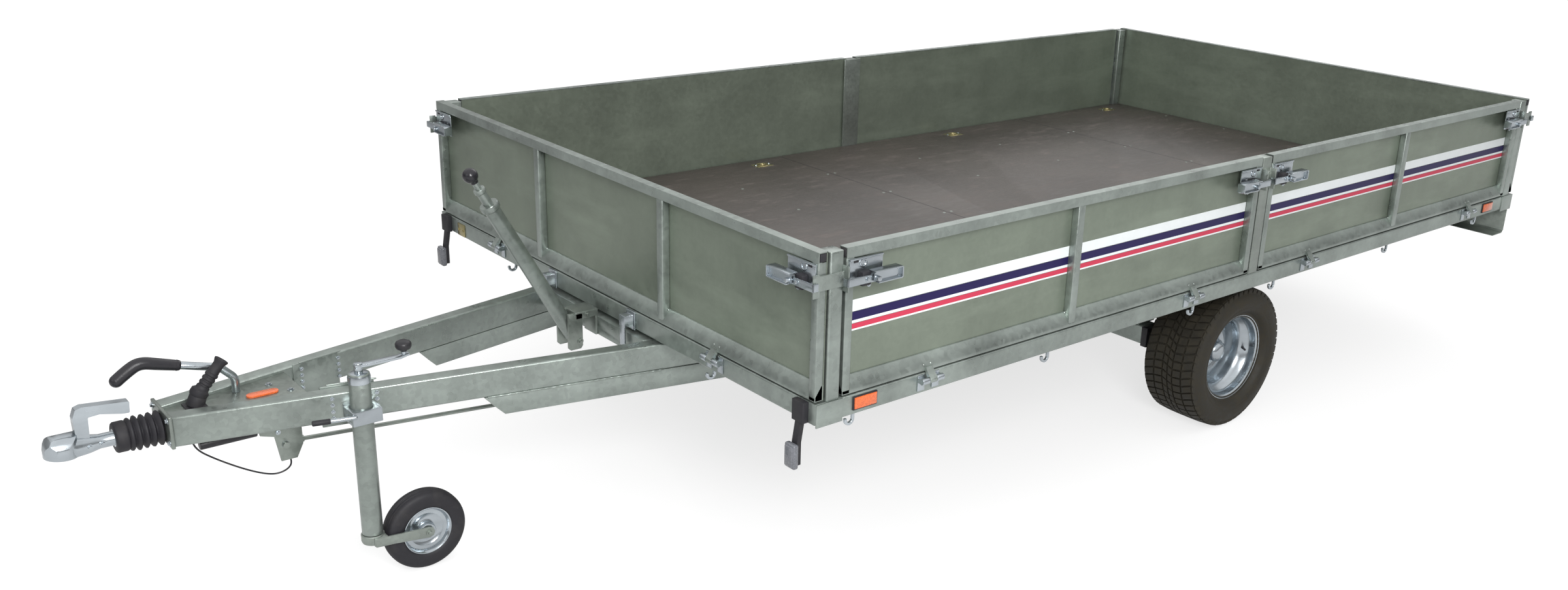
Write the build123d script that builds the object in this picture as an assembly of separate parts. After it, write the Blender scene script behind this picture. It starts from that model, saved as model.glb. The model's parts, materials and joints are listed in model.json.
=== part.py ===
from build123d import *
import math
import os

os.makedirs("parts", exist_ok=True)

# High-bed tilting trailer, millimetres. Working frame: x = 0 at the front board's face and
# forward is +x, y = 0 on the centre line with the near (left) side at +y, z = 0 on the ground.

# Bed
BED_LENGTH = 3270
BED_WIDTH = 1850
BED_BOTTOM = 489
BEAM_HEIGHT = 50
BEAM_WIDTH = 60
FLOOR_THICK = 15
CROSS_WIDTH = 40
CROSS_COUNT = 7
CROSS_FRONT_INSET = 480
CROSS_REAR_INSET = 264
CLEAR = 5
TUBE_ROUND = 5
BEAM_TOP = BED_BOTTOM + BEAM_HEIGHT
FLOOR_TOP = BEAM_TOP + FLOOR_THICK
HALF_WIDTH = BED_WIDTH / 2
BEAM_INNER = HALF_WIDTH - BEAM_WIDTH
CORNER_PLATE = 75
CORNER_PLATE_DROP = 5
CORNER_PLATE_THICK = 3

# Lashing rings sunk in the floor along each side
RING_COUNT = 4
RING_FRONT_INSET = 214.5
RING_REAR_INSET = 184.5
RING_SIDE_INSET = 102
RING_PITCH = (BED_LENGTH - RING_FRONT_INSET - RING_REAR_INSET) / (RING_COUNT - 1)
RING_PLACES = [-RING_FRONT_INSET - RING_PITCH * n for n in range(RING_COUNT)]
RING_Y = HALF_WIDTH - RING_SIDE_INSET
RING_LENGTH = 70
RING_WIDTH = 50
RING_DEPTH = 3
RING_PLAY = 0.3

# Drop boards
BOARD_TOP = 887
BOARD_THICK = 24
BOARD_BOTTOM = BEAM_TOP + CLEAR
SHEET_THICK = 2
RAIL_HEIGHT = 24
RAIL_LIP = 9
LEDGE_FACE = 9
LEDGE_HEIGHT = 37
STILE_WIDTH = 20
END_STILE_WIDTH = 22

# Posts between the boards
CORNER_POST = 38
POST_DEPTH = 40
POST_TOP = BOARD_TOP - 3
SIDE_GAP = 7
MID_POST_OFFSET = 7
MID_POST_X = -BED_LENGTH / 2 - MID_POST_OFFSET
MID_NECK = 42
MID_FLANGE = 76
MID_FLANGE_THICK = 5

# Board hinges
HINGE_OUT = 15
HINGE_Z = 525
HINGE_INSET = 264
END_HINGE_INSET = 375
KNUCKLE_R = 8
KNUCKLE_LENGTH = 22
KNUCKLE_GAP = 1
PIN_R = 4
PIN_PLAY = 0.3

# Over-centre latches and the keepers that they hook on
LATCH_Z = 821
LATCH_OUT = 40
KEEPER_HALF = 17
KEEPER_THICK = 4
EAR_OUT = 20
EAR_LOW = 28
EAR_HIGH = 31
HANDLE_START = 57
HANDLE_END = 154
HANDLE_HALF = 18
HANDLE_WALL = 3
HANDLE_BACK = 16
HOOK_GAP = 3
HOOK_HALF = 9

# Drawbar
ARM_WIDTH = 40
ARM_HEIGHT = 70
ARM_TOP = 480
ARM_BOTTOM = ARM_TOP - ARM_HEIGHT
ARM_FRONT_X = 1085
ARM_FRONT_Y = 61
ARM_ANGLE = 12
ARM_REAR_X = -1380
ARM_SLICE = ARM_WIDTH / math.cos(math.radians(ARM_ANGLE))
FRONT_CROSS_X = 15
LOWER_RAIL_HEIGHT = 50
LOWER_RAIL_FRONT_X = 428
LOWER_RAIL_CUT = 47
SPLICE_FRONT_X = 775
SPLICE_REAR_X = 658
SPLICE_THICK = 5

# Coupling, gaiter and overrun housing
SHAFT_Z = 439
SHAFT_R = 20
SHAFT_PLAY = 0.5
CUP_R = 34
CUP_X = 1292
NOSE_X = CUP_X + CUP_R
BALL_R = 25
BALL_Z = SHAFT_Z + 1
NECK_X = 1190
NECK_R = 16
HANDLE_X = 1262
HANDLE_BAR_LENGTH = 111
HANDLE_HEIGHT = 89
HANDLE_BAR_HALF = 11
HOUSING_X = 795
HOUSING_LOW = 416
HOUSING_TOP = 470
END_PLATE_THICK = 8
END_PLATE_X = ARM_FRONT_X + END_PLATE_THICK
PLEATS = 5
PLEAT_HIGH = 39
PLEAT_LOW = 29
CUFF_LENGTH = 24
CUFF_R = 34
PLEAT_PITCH = (NECK_X - CUFF_LENGTH - END_PLATE_X) / PLEATS

# Handbrake, brake gear and breakaway cable
LEVER_X = 922
LEVER_Y = -30
LEVER_R = 9
GRIP_R = 14
PLUG_X = 1020
REFLECTOR_X = 844
REFLECTOR_LENGTH = 71
BRAKE_X = 812
BRAKE_Y = 46
BRAKE_PLATE = 6
BRAKE_PLATE_LENGTH = 93
BRAKE_PLATE_LOW = 310
BRAKE_PIVOT_X = BRAKE_X + 40
BRAKE_PIVOT_Z = 350
BRAKE_ROD_R = 5
CLEVIS_R = 8
CLEVIS_LENGTH = 46
ROD_Y = BRAKE_Y - CLEVIS_R - 2
ROD_GAP = 0.3
STRUT_Y = 20
STRUT_Z = 384
STRUT_R = 11
STRUT_FRONT_X = 1026
STRUT_REAR_X = 940
STRUT_PIN_X = 866
CABLE_R = 1.5
CABLE_GAP = 0.5

# Wheels and axle
AXLE_X = -1735
TYRE_R = 225
TYRE_WIDTH = 200
WHEEL_Y = 762
RIM_R = 141
RIM_HALF = 78
WELL_R = 104
BEAD_GAP = 0.8
STUB_R = 18
STUB_SHORT = 10
HUB_BOLTS = 5
HUB_BOLT_CIRCLE = 45
DRUM_R = 90
DRUM_WALL = 6
DRUM_DEPTH = 120
DRUM_GAP = 4
BACK_PLATE_THICK = 6
BACK_PLATE_R = 95
TRAILING_ARM_THICK = 22
TRAILING_LENGTH = 130
TRAILING_RISE = 35
AXLE_TUBE = 60
AXLE_TUBE_X = AXLE_X + TRAILING_LENGTH
COMPENSATOR_Y = 200
COMPENSATOR_DROP = 30
COMPENSATOR_WIDTH = 16
AXLE_TUBE_Z = TYRE_R + TRAILING_RISE
ARM_PLATE_Y = WHEEL_Y - DRUM_DEPTH - DRUM_GAP - BACK_PLATE_THICK
AXLE_HALF = ARM_PLATE_Y - TRAILING_ARM_THICK

# Rear chassis and tilt pivot
RAIL_INSET = 35
RAIL_Y = AXLE_HALF - RAIL_INSET
RAIL_WIDTH = 50
RAIL_TOP = 470
RAIL_BOTTOM = 400
REAR_CROSS = 60
PIVOT_X = -1900
PIVOT_Z = 446
PIVOT_R = 18
SLEEVE_R = 26
SLEEVE_LENGTH = 70
SLEEVE_INSET = 145
SLEEVE_Y = RAIL_Y - SLEEVE_INSET
RAIL_OVERHANG = 32
RAIL_REAR_X = PIVOT_X - RAIL_OVERHANG

# Jockey wheel
JOCKEY_X = 713
JOCKEY_Y = 168
JOCKEY_TUBE_R = 24
JOCKEY_WALL = 3
JOCKEY_TOP = 533
JOCKEY_TUBE_LOW = 128
JOCKEY_R = 100
JOCKEY_RIM_R = 66
JOCKEY_WIDTH = 50
JOCKEY_TRAIL = 125
JOCKEY_AXLE_R = 8
FORK_HALF = 32
FORK_PLATE = 5
CLAMP_Z0 = 419
CLAMP_Z1 = 452
CLAMP_LEVER_R = 5
CLAMP_LEVER_LENGTH = 89

# Tipping jack, a telescopic ram that leans back between the fork's ears
JACK_X = 70
JACK_Z = 423
JACK_LEAN = 29.3
JACK_LENGTH = 548
JACK_TUBE_LENGTH = 452
JACK_R = 20
JACK_STAGE_R = 12
JACK_ROD_R = 8
JACK_BALL_R = 19
JACK_BOLT_R = 7
FORK_GAP = 48
EAR_THICK = 6
HOOD_TOP = 500

# Lamps, reflectors and rope hooks
LAMP_INSET = 45
LIGHT_BAR_LOW = 390
LIGHT_BAR_DEPTH = 80
HOOK_FRONT_INSETS = (118, 773)
HOOK_MID_OFFSETS = (259, -139)
HOOK_REAR_INSETS = (839, 235)
FRONT_HOOK_INSETS = (437, 411)
HOOK_R = 11
HOOK_THICK = 7
HOOK_DEPTH = 29

# Catches that hold the bed's front down
CATCH_PLACES = (-227, 175)
CATCH_OUT = 30
CATCH_LOW = 447

# The row's origin is the middle of the footprint on the ground
SHIFT = Pos((BED_LENGTH + LATCH_OUT - NOSE_X) / 2, 0, 0)

NODES = {}


def block(x0, x1, y0, y1, z0, z1):
    """A box between two corners."""
    return Pos((x0 + x1) / 2, (y0 + y1) / 2, (z0 + z1) / 2) * Box(abs(x1 - x0), abs(y1 - y0), abs(z1 - z0))


def bar(start, end, radius):
    """A round bar from one point to another."""
    line = Line(start, end)
    plane = Plane(origin=start, z_dir=line % 0)
    return extrude(plane * Circle(radius), amount=line.length)


def side_profile(points, y0, y1):
    """A side view of (x, z) points, given its width from y0 to y1."""
    face = make_face(Polyline([(x, 0, z) for x, z in points], close=True))
    return Pos(0, y1, 0) * extrude(face, amount=y1 - y0, dir=(0, -1, 0))


def along_x(points, x0, x1):
    """A section of (y, z) points, run along x."""
    face = make_face(Polyline([(x0, y, z) for y, z in points], close=True))
    return extrude(face, amount=x1 - x0, dir=(1, 0, 0))


def plan(points, z0, z1):
    """A plan of (x, y) points, raised from z0 to z1."""
    face = make_face(Polyline([(x, y, z0) for x, y in points], close=True))
    return extrude(face, amount=z1 - z0, dir=(0, 0, 1))


def tube_edges(shape, axis):
    """The shape with its edges along an axis rounded as a rolled tube's."""
    return fillet(shape.edges().filter_by(axis), TUBE_ROUND)


def bent_rod(points, bend, radius):
    """A round rod along straight runs with an arc at each corner; bend is one radius or a list."""
    path = FilletPolyline(*points, radius=bend)
    start = Plane(origin=path @ 0, z_dir=path % 0)
    return sweep(start * Circle(radius), path=path)


def both_sides(shape):
    """The shape and its mirror image across the centre line."""
    return [shape, mirror(shape, about=Plane.XZ)]


def keep(name, *shapes):
    """Stores a node, moved to the row's origin."""
    flat = []
    for shape in shapes:
        flat += shape if isinstance(shape, list) else [shape]
    solids = [s for shape in flat for s in shape.solids()]
    NODES[name] = Compound(children=[SHIFT * s for s in solids]) if len(solids) > 1 else SHIFT * solids[0]


def arm_y(x):
    """Outer face of the left drawbar arm at x."""
    return ARM_FRONT_Y + (ARM_FRONT_X - x) * math.tan(math.radians(ARM_ANGLE))


def arm_inner_y(x):
    """Inner face of the left drawbar arm at x."""
    return arm_y(x) - ARM_SLICE


def slanted(x0, x1, inset0, inset1, z0, z1):
    """A length of the left arm, between two insets from its outer face."""
    corners = [(x0, arm_y(x0) - inset0), (x1, arm_y(x1) - inset0),
               (x1, arm_y(x1) - inset1), (x0, arm_y(x0) - inset1)]
    return plan(corners, z0, z1)


def between_arms(x0, x1, z0, z1):
    """A piece that fills the space between the two arms."""
    corners = [(x0, arm_inner_y(x0)), (x1, arm_inner_y(x1)), (x1, -arm_inner_y(x1)), (x0, -arm_inner_y(x0))]
    return plan(corners, z0, z1)


def rail_section():
    """Top rail of a board: a folded channel, open underneath, with a return lip."""
    low, wall, out = BOARD_TOP - RAIL_HEIGHT, SHEET_THICK, BOARD_THICK
    return [(wall, BOARD_TOP), (out, BOARD_TOP), (out, low), (out - RAIL_LIP, low),
            (out - RAIL_LIP, low + wall), (out - wall, low + wall), (out - wall, BOARD_TOP - wall),
            (wall, BOARD_TOP - wall)]


def ledge_section():
    """Foot of a board: the sheet slopes out to a narrow face and turns back underneath."""
    low, wall, out = BOARD_BOTTOM, SHEET_THICK, BOARD_THICK
    return [(wall, low), (out, low), (out, low + LEDGE_FACE), (wall + 5, low + LEDGE_HEIGHT - 3),
            (2 * wall, low + LEDGE_HEIGHT), (wall, low + LEDGE_HEIGHT)]


def hinge_leaf_section():
    """A board's hinge leaf, from the ledge's face down and out to the pin."""
    out, low = BOARD_THICK, BOARD_BOTTOM
    pin = out + HINGE_OUT
    return [(out, low + LEDGE_FACE), (out + 4, low + LEDGE_FACE), (out + 5, low + 6), (pin + 6, HINGE_Z + 5),
            (pin, HINGE_Z), (pin - 6, HINGE_Z + 5), (out, low)]


def board(length, stiles, hinges, reaches):
    """A drop board along +x, its inner face at y = 0; reaches run from its ends past the keepers' ears."""
    back, out = SHEET_THICK, BOARD_THICK
    sheet = block(0, length, 0, back, BOARD_BOTTOM, BOARD_TOP)
    frame = along_x(ledge_section(), 0, length) + along_x(rail_section(), 0, length)
    for x in (0, length - END_STILE_WIDTH):
        frame += block(x, x + END_STILE_WIDTH, back, out, BOARD_BOTTOM, BOARD_TOP)
    for x in stiles:
        half = STILE_WIDTH / 2
        frame += block(x - half, x + half, back, out, BOARD_BOTTOM, BOARD_TOP - SHEET_THICK)
    pin_y = out + HINGE_OUT
    for x in hinges:
        x0, x1 = x - KNUCKLE_LENGTH / 2, x + KNUCKLE_LENGTH / 2
        frame += along_x(hinge_leaf_section(), x0, x1)
        frame += bar((x0, pin_y, HINGE_Z), (x1, pin_y, HINGE_Z), KNUCKLE_R)
        frame -= bar((x0 - 1, pin_y, HINGE_Z), (x1 + 1, pin_y, HINGE_Z), PIN_R + PIN_PLAY)
    frame += latch(0, 1, reaches[0]) + latch(length, -1, reaches[1])
    return frame, sheet


def latch(board_end, way, reach):
    """An over-centre latch on a board's outer face: base plate, pivot, hook and folded U-shaped handle."""
    out = BOARD_THICK

    def end_x(along):
        return board_end + way * along

    def plate(along0, along1, out0, out1, z0, z1):
        return block(end_x(along0), end_x(along1), out + out0, out + out1, z0, z1)

    def stud(along, out0, out1, z, radius):
        return bar((end_x(along), out + out0, z), (end_x(along), out + out1, z), radius)

    base = plate(5, 101, 0, 4, LATCH_Z - 24, BOARD_TOP - RAIL_HEIGHT - 2)
    round_x = HANDLE_END - HANDLE_HALF
    inner = HANDLE_HALF - HANDLE_WALL
    low, high = LATCH_Z - HANDLE_HALF, LATCH_Z + HANDLE_HALF
    handle = plate(HANDLE_START, round_x, HANDLE_BACK, LATCH_OUT, low, high)
    handle += stud(round_x, HANDLE_BACK, LATCH_OUT, LATCH_Z, HANDLE_HALF)
    hollow_out = LATCH_OUT - HANDLE_WALL
    handle -= plate(HANDLE_START - 1, round_x, HANDLE_BACK - 1, hollow_out, LATCH_Z - inner, LATCH_Z + inner)
    handle -= stud(round_x, HANDLE_BACK - 1, hollow_out, LATCH_Z, inner)
    hook_z = LATCH_Z - 4
    hook_out = EAR_OUT + HOOK_GAP
    tip = reach + HOOK_GAP
    low, high, end = hook_z - HOOK_HALF, hook_z + HOOK_HALF, -tip - KEEPER_THICK
    hook = plate(end, HANDLE_START + 22, hook_out, hook_out + 4, low, high)
    claw = plate(end, -tip, EAR_OUT - 9, hook_out + 4, low, high)
    pivot = stud(HANDLE_START + 12, 4, LATCH_OUT, hook_z, 6)
    bolt = stud(HANDLE_START - 17, 4, hook_out + 8, hook_z, 5)
    return base + handle + hook + claw + pivot + bolt


def hinge_half(x):
    """The bed's half of a board hinge, in the board's frame: two knuckles on their leaves, and the pin."""
    out, pin_y = BOARD_THICK, BOARD_THICK + HINGE_OUT
    inner, outer = KNUCKLE_LENGTH / 2 + KNUCKLE_GAP, KNUCKLE_LENGTH * 1.5 + KNUCKLE_GAP
    half = bar((x - outer, pin_y, HINGE_Z), (x + outer, pin_y, HINGE_Z), PIN_R)
    for x0, x1 in ((x - outer, x - inner), (x + inner, x + outer)):
        half += bar((x0, pin_y, HINGE_Z), (x1, pin_y, HINGE_Z), KNUCKLE_R)
        half += block(x0, x1, out, out + 3, BED_BOTTOM + 8, BEAM_TOP - 2)
        half += block(x0, x1, out, pin_y, HINGE_Z - 6, HINGE_Z + 6)
    return half


# Boards: where each starts and turns, its length, stiles, hinges and the reach of its two hooks
INNER_Y = HALF_WIDTH - BOARD_THICK
BOARD_FRONT_X = -(BOARD_THICK + CLEAR + CORNER_POST + SIDE_GAP)
BOARD_REAR_X = -BED_LENGTH - BOARD_FRONT_X
END_LENGTH = BED_WIDTH - 2 * CLEAR
FRONT_SIDE_START = MID_POST_X + MID_NECK / 2 + CLEAR
FRONT_SIDE_LENGTH = BOARD_FRONT_X - FRONT_SIDE_START
REAR_SIDE_LENGTH = MID_POST_X - MID_NECK / 2 - CLEAR - BOARD_REAR_X
END_STILES = [END_LENGTH / 3, END_LENGTH * 2 / 3]
END_HINGES = [END_HINGE_INSET, END_LENGTH - END_HINGE_INSET]
CORNER_REACH = SIDE_GAP + KEEPER_THICK
MID_REACH = CLEAR + KEEPER_THICK
TURN_FRONT = Pos(-BOARD_THICK, END_LENGTH / 2, 0) * Rot(0, 0, -90)
TURN_REAR = Pos(-BED_LENGTH + BOARD_THICK, -END_LENGTH / 2, 0) * Rot(0, 0, 90)
BOARDS = [
    # name, placement, length, stiles, hinges, hook reaches at its first and last end
    ("front", TURN_FRONT, END_LENGTH, END_STILES, END_HINGES, (MID_REACH, MID_REACH)),
    ("rear", TURN_REAR, END_LENGTH, END_STILES, END_HINGES, (MID_REACH, MID_REACH)),
    ("left_front", Pos(FRONT_SIDE_START, INNER_Y, 0), FRONT_SIDE_LENGTH, [FRONT_SIDE_LENGTH / 2],
     [HINGE_INSET, FRONT_SIDE_LENGTH - HINGE_INSET], (MID_REACH, CORNER_REACH)),
    ("left_rear", Pos(BOARD_REAR_X, INNER_Y, 0), REAR_SIDE_LENGTH, [REAR_SIDE_LENGTH / 2],
     [HINGE_INSET, REAR_SIDE_LENGTH - HINGE_INSET], (CORNER_REACH, MID_REACH)),
]


def make_boards():
    """Six drop boards, each a welded frame and an inner sheet, and the bed's hinge halves."""
    halves = []
    for name, place, length, stiles, hinges, reaches in BOARDS:
        frame, sheet = board(length, stiles, hinges, reaches)
        keep(name + "_board_frame", place * frame)
        keep(name + "_board_sheet", place * sheet)
        bed_half = [place * hinge_half(x) for x in hinges]
        halves += bed_half
        if name.startswith("left"):
            right = name.replace("left", "right")
            keep(right + "_board_frame", mirror(place * frame, about=Plane.XZ))
            keep(right + "_board_sheet", mirror(place * sheet, about=Plane.XZ))
            halves += [mirror(h, about=Plane.XZ) for h in bed_half]
    keep("board_hinge_halves", halves)


def corner_keeper(end_face, way):
    """The strap round a corner post: an ear for the side board's hook, a free end for the end board's."""
    rear = end_face - way * (BOARD_THICK + CLEAR + CORNER_POST)
    tip = end_face + way * EAR_OUT
    y0, y1 = HALF_WIDTH, HALF_WIDTH + KEEPER_THICK
    strap = block(rear, tip, y0, y1, LATCH_Z - KEEPER_HALF, LATCH_Z + KEEPER_HALF)
    strap += block(tip - way * (EAR_OUT - 2), tip, y0, y1, LATCH_Z - EAR_HIGH, LATCH_Z + KEEPER_HALF + 4)
    low, high = LATCH_Z - EAR_LOW, LATCH_Z + EAR_HIGH
    return strap + block(rear, rear + way * KEEPER_THICK, y0, y0 + EAR_OUT, low, high)


def mid_keeper():
    """The strap across a middle post, with an ear bent out at each edge."""
    y0, half = HALF_WIDTH, MID_NECK / 2
    strap = block(MID_POST_X - half, MID_POST_X + half, y0, y0 + KEEPER_THICK, LATCH_Z - KEEPER_HALF,
                  LATCH_Z + KEEPER_HALF)
    for x0, x1 in ((-half, -half + KEEPER_THICK), (half - KEEPER_THICK, half)):
        low, high = LATCH_Z - EAR_LOW, LATCH_Z + EAR_HIGH
        strap += block(MID_POST_X + x0, MID_POST_X + x1, y0, y0 + EAR_OUT, low, high)
    return strap


def make_bed():
    """Bed frame of side beams, end beams and crossmembers, with the plywood floor and the posts."""
    side = tube_edges(block(-BED_LENGTH, 0, BEAM_INNER, HALF_WIDTH, BED_BOTTOM, BEAM_TOP), Axis.X)
    low = BED_BOTTOM - CORNER_PLATE_DROP
    for end_face, way in ((0, 1), (-BED_LENGTH, -1)):
        side += block(end_face - way * CORNER_PLATE, end_face, HALF_WIDTH, HALF_WIDTH + CORNER_PLATE_THICK,
                      low, BEAM_TOP)
    keep("side_beams", both_sides(side))
    ends = [tube_edges(block(x, x + BEAM_WIDTH, -BEAM_INNER, BEAM_INNER, BED_BOTTOM, BEAM_TOP), Axis.Y)
            for x in (-BEAM_WIDTH, -BED_LENGTH)]
    keep("end_beams", ends)
    pitch = (BED_LENGTH - CROSS_FRONT_INSET - CROSS_REAR_INSET) / (CROSS_COUNT - 1)
    places = [-CROSS_FRONT_INSET - number * pitch for number in range(CROSS_COUNT)]
    keep("crossmembers", [crossmember(x) for x in places])
    tilt = crossmember(PIVOT_X)
    for y in (-SLEEVE_Y, SLEEVE_Y):
        y0, y1 = y - SLEEVE_LENGTH / 2, y + SLEEVE_LENGTH / 2
        tilt += bar((PIVOT_X, y0, PIVOT_Z), (PIVOT_X, y1, PIVOT_Z), SLEEVE_R)
        tilt += block(PIVOT_X - 14, PIVOT_X + 14, y0, y1, PIVOT_Z, BED_BOTTOM)
        tilt -= bar((PIVOT_X, y0 - 1, PIVOT_Z), (PIVOT_X, y1 + 1, PIVOT_Z), PIVOT_R + PIN_PLAY)
    keep("tilt_crossmember", tilt)
    make_posts()
    make_floor()


def crossmember(x):
    """A tube across the bed between its side beams, centred at x."""
    return block(x - CROSS_WIDTH / 2, x + CROSS_WIDTH / 2, -BEAM_INNER, BEAM_INNER, BED_BOTTOM, BEAM_TOP)


def make_posts():
    """Corner posts and the T-shaped middle posts, with the keepers of the latches."""
    posts = []
    for end_face, way in ((0, 1), (-BED_LENGTH, -1)):
        outer = end_face - way * (BOARD_THICK + CLEAR)
        inner_y = HALF_WIDTH - POST_DEPTH
        post = block(outer - way * CORNER_POST, outer, inner_y, HALF_WIDTH, BEAM_TOP, POST_TOP)
        posts += both_sides(tube_edges(post, Axis.Z) + corner_keeper(end_face, way))
    keep("corner_posts", posts)
    flange_y = INNER_Y - CLEAR
    front, rear = MID_POST_X + MID_FLANGE / 2, MID_POST_X - MID_FLANGE / 2
    mid = block(rear, front, flange_y - MID_FLANGE_THICK, flange_y, BEAM_TOP, POST_TOP)
    front, rear = MID_POST_X + MID_NECK / 2, MID_POST_X - MID_NECK / 2
    mid += block(rear, front, flange_y, HALF_WIDTH, BEAM_TOP, POST_TOP)
    keep("mid_posts", both_sides(mid + mid_keeper()))


def make_floor():
    """Plywood floor, notched for the posts, with a pocket for each lashing ring's plate."""
    front_x, rear_x = -BOARD_THICK - CLEAR, -BED_LENGTH + BOARD_THICK + CLEAR
    half = INNER_Y - CLEAR - 1
    low, high = BEAM_TOP - 1, FLOOR_TOP + 1
    corner_y = HALF_WIDTH - POST_DEPTH - 1
    mid_y = INNER_Y - CLEAR - MID_FLANGE_THICK - 1
    mid_half = MID_FLANGE / 2 + 1
    floor = block(rear_x, front_x, -half, half, BEAM_TOP, FLOOR_TOP)
    notches = both_sides(block(front_x - CORNER_POST - 1, front_x + 1, corner_y, HALF_WIDTH, low, high))
    notches += both_sides(block(rear_x - 1, rear_x + CORNER_POST + 1, corner_y, HALF_WIDTH, low, high))
    notches += both_sides(block(MID_POST_X - mid_half, MID_POST_X + mid_half, mid_y, HALF_WIDTH, low, high))
    length, width = RING_LENGTH / 2, RING_WIDTH / 2
    plates = []
    for x in RING_PLACES:
        reach, across = length + RING_PLAY, width + RING_PLAY
        sunk = FLOOR_TOP - RING_DEPTH
        notches += both_sides(block(x - reach, x + reach, RING_Y - across, RING_Y + across, sunk, high))
        plates += both_sides(block(x - length, x + length, RING_Y - width, RING_Y + width, sunk, FLOOR_TOP))
    for notch in notches:
        floor -= notch
    keep("floor_panel", floor)
    keep("lashing_plates", plates)


def rope_hook():
    """A J-shaped hook bent from flat strip, its stem at x = 0 and its tip to the front."""
    centre = BED_BOTTOM - HOOK_DEPTH + HOOK_R + HOOK_THICK / 2
    curl = Pos(HOOK_R, 0, centre) * Rot(90, 0, 0) * (Cylinder(HOOK_R + HOOK_THICK / 2, HOOK_THICK)
                                                      - Cylinder(HOOK_R - HOOK_THICK / 2, HOOK_THICK + 2))
    curl -= block(-HOOK_R, 3 * HOOK_R, -HOOK_THICK, HOOK_THICK, centre, centre + 2 * HOOK_R)
    half = HOOK_THICK / 2
    stem = block(-half, half, -half, half, centre, BED_BOTTOM)
    return curl + stem + block(2 * HOOK_R - half, 2 * HOOK_R + half, -half, half, centre, centre + 4)


def make_bed_fittings():
    """Marker lamps, rear light bar, side reflectors, rope hooks and the bed's front catches."""
    lamp_y = HALF_WIDTH - LAMP_INSET
    holder = block(0, 16, lamp_y - 20, lamp_y + 20, BED_BOTTOM, BEAM_TOP)
    arm = side_profile([(2, BED_BOTTOM), (14, BED_BOTTOM), (22, 440), (22, 385), (10, 385), (10, 440)],
                       lamp_y - 10, lamp_y + 10)
    keep("marker_lamp_arms", both_sides(holder + arm))
    keep("marker_lamps", both_sides(block(22, 40, lamp_y - 18, lamp_y + 18, 380, 440)))

    rear, low, wall = -BED_LENGTH, LIGHT_BAR_LOW, 3
    bar_front = rear + LIGHT_BAR_DEPTH
    bar_profile = [(rear, BED_BOTTOM), (rear, low + 10), (rear + 10, low), (bar_front, low),
                   (bar_front, low + wall), (rear + 11, low + wall), (rear + wall, low + 11),
                   (rear + wall, BED_BOTTOM)]
    keep("light_bar", side_profile(bar_profile, -HALF_WIDTH + CLEAR, HALF_WIDTH - CLEAR))
    lamp = block(rear - 18, rear, HALF_WIDTH - 270, HALF_WIDTH - 40, low + 12, low + 92)
    keep("tail_lamps", both_sides(lamp))
    reflectors = []
    for x in (-142, -BED_LENGTH + 185):
        reflectors += both_sides(block(x - 34, x + 34, HALF_WIDTH, HALF_WIDTH + 5, 502, 532))
    keep("side_reflectors", reflectors)
    hook_places = [-inset for inset in HOOK_FRONT_INSETS]
    hook_places += [MID_POST_X + offset for offset in HOOK_MID_OFFSETS]
    hook_places += [inset - BED_LENGTH for inset in HOOK_REAR_INSETS]
    hooks = []
    for x in hook_places:
        hooks += both_sides(Pos(x, HALF_WIDTH - 12, 0) * rope_hook())
    right_inset, left_inset = FRONT_HOOK_INSETS
    hooks += [Pos(-20, y, 0) * rope_hook() for y in (right_inset - HALF_WIDTH, HALF_WIDTH - left_inset)]
    keep("rope_hooks", hooks)
    catches = []
    for y in CATCH_PLACES:
        catch = block(0, 5, y - 20, y + 20, BED_BOTTOM, BEAM_TOP)
        catch += block(5, CATCH_OUT, y - 14, y + 14, BED_BOTTOM + 11, BEAM_TOP - 9)
        catches.append(catch + block(CATCH_OUT - 4, CATCH_OUT, y - 12, y + 12, CATCH_LOW, BED_BOTTOM + 16))
    keep("bed_catches", catches)


def make_chassis():
    """V drawbar with its lower rails and splice plates, crossmembers, rear rails and the tilt bar."""
    arm = slanted(ARM_REAR_X, ARM_FRONT_X, 0, ARM_SLICE, ARM_BOTTOM, ARM_TOP)
    arm = fillet(arm.edges().filter_by(lambda edge: edge.length > ARM_FRONT_X), TUBE_ROUND)
    splice = slanted(SPLICE_REAR_X, SPLICE_FRONT_X, ARM_SLICE, ARM_SLICE + SPLICE_THICK,
                     ARM_BOTTOM - 27, ARM_TOP + 3)
    keep("drawbar_arms", both_sides(arm + splice))
    low = ARM_BOTTOM - LOWER_RAIL_HEIGHT
    lower = slanted(ARM_REAR_X, LOWER_RAIL_FRONT_X, 0, ARM_SLICE, low, ARM_BOTTOM)
    cut = side_profile([(LOWER_RAIL_FRONT_X + 1, ARM_BOTTOM + 1), (LOWER_RAIL_FRONT_X + 1, low - 1),
                        (LOWER_RAIL_FRONT_X - LOWER_RAIL_CUT, low - 1)], 0, HALF_WIDTH)
    keep("lower_rails", both_sides(lower - cut))

    front = between_arms(FRONT_CROSS_X - 50, FRONT_CROSS_X, ARM_TOP - 50, ARM_TOP)
    front -= bar((FRONT_CROSS_X - 60, 24, 458), (FRONT_CROSS_X + 10, 24, 458), 6)
    rear_y = RAIL_Y + RAIL_WIDTH / 2
    rear = block(ARM_REAR_X - REAR_CROSS, ARM_REAR_X, -rear_y, rear_y, RAIL_BOTTOM, RAIL_TOP)
    keep("chassis_crossmembers", front, rear)
    rail = block(RAIL_REAR_X, ARM_REAR_X - REAR_CROSS, RAIL_Y - RAIL_WIDTH / 2, rear_y, RAIL_BOTTOM, RAIL_TOP)
    tilt_bar = bar((PIVOT_X, -rear_y, PIVOT_Z), (PIVOT_X, rear_y, PIVOT_Z), PIVOT_R)
    for side_rail in both_sides(rail):
        tilt_bar += side_rail
    keep("tilt_frame", tilt_bar)


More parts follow.
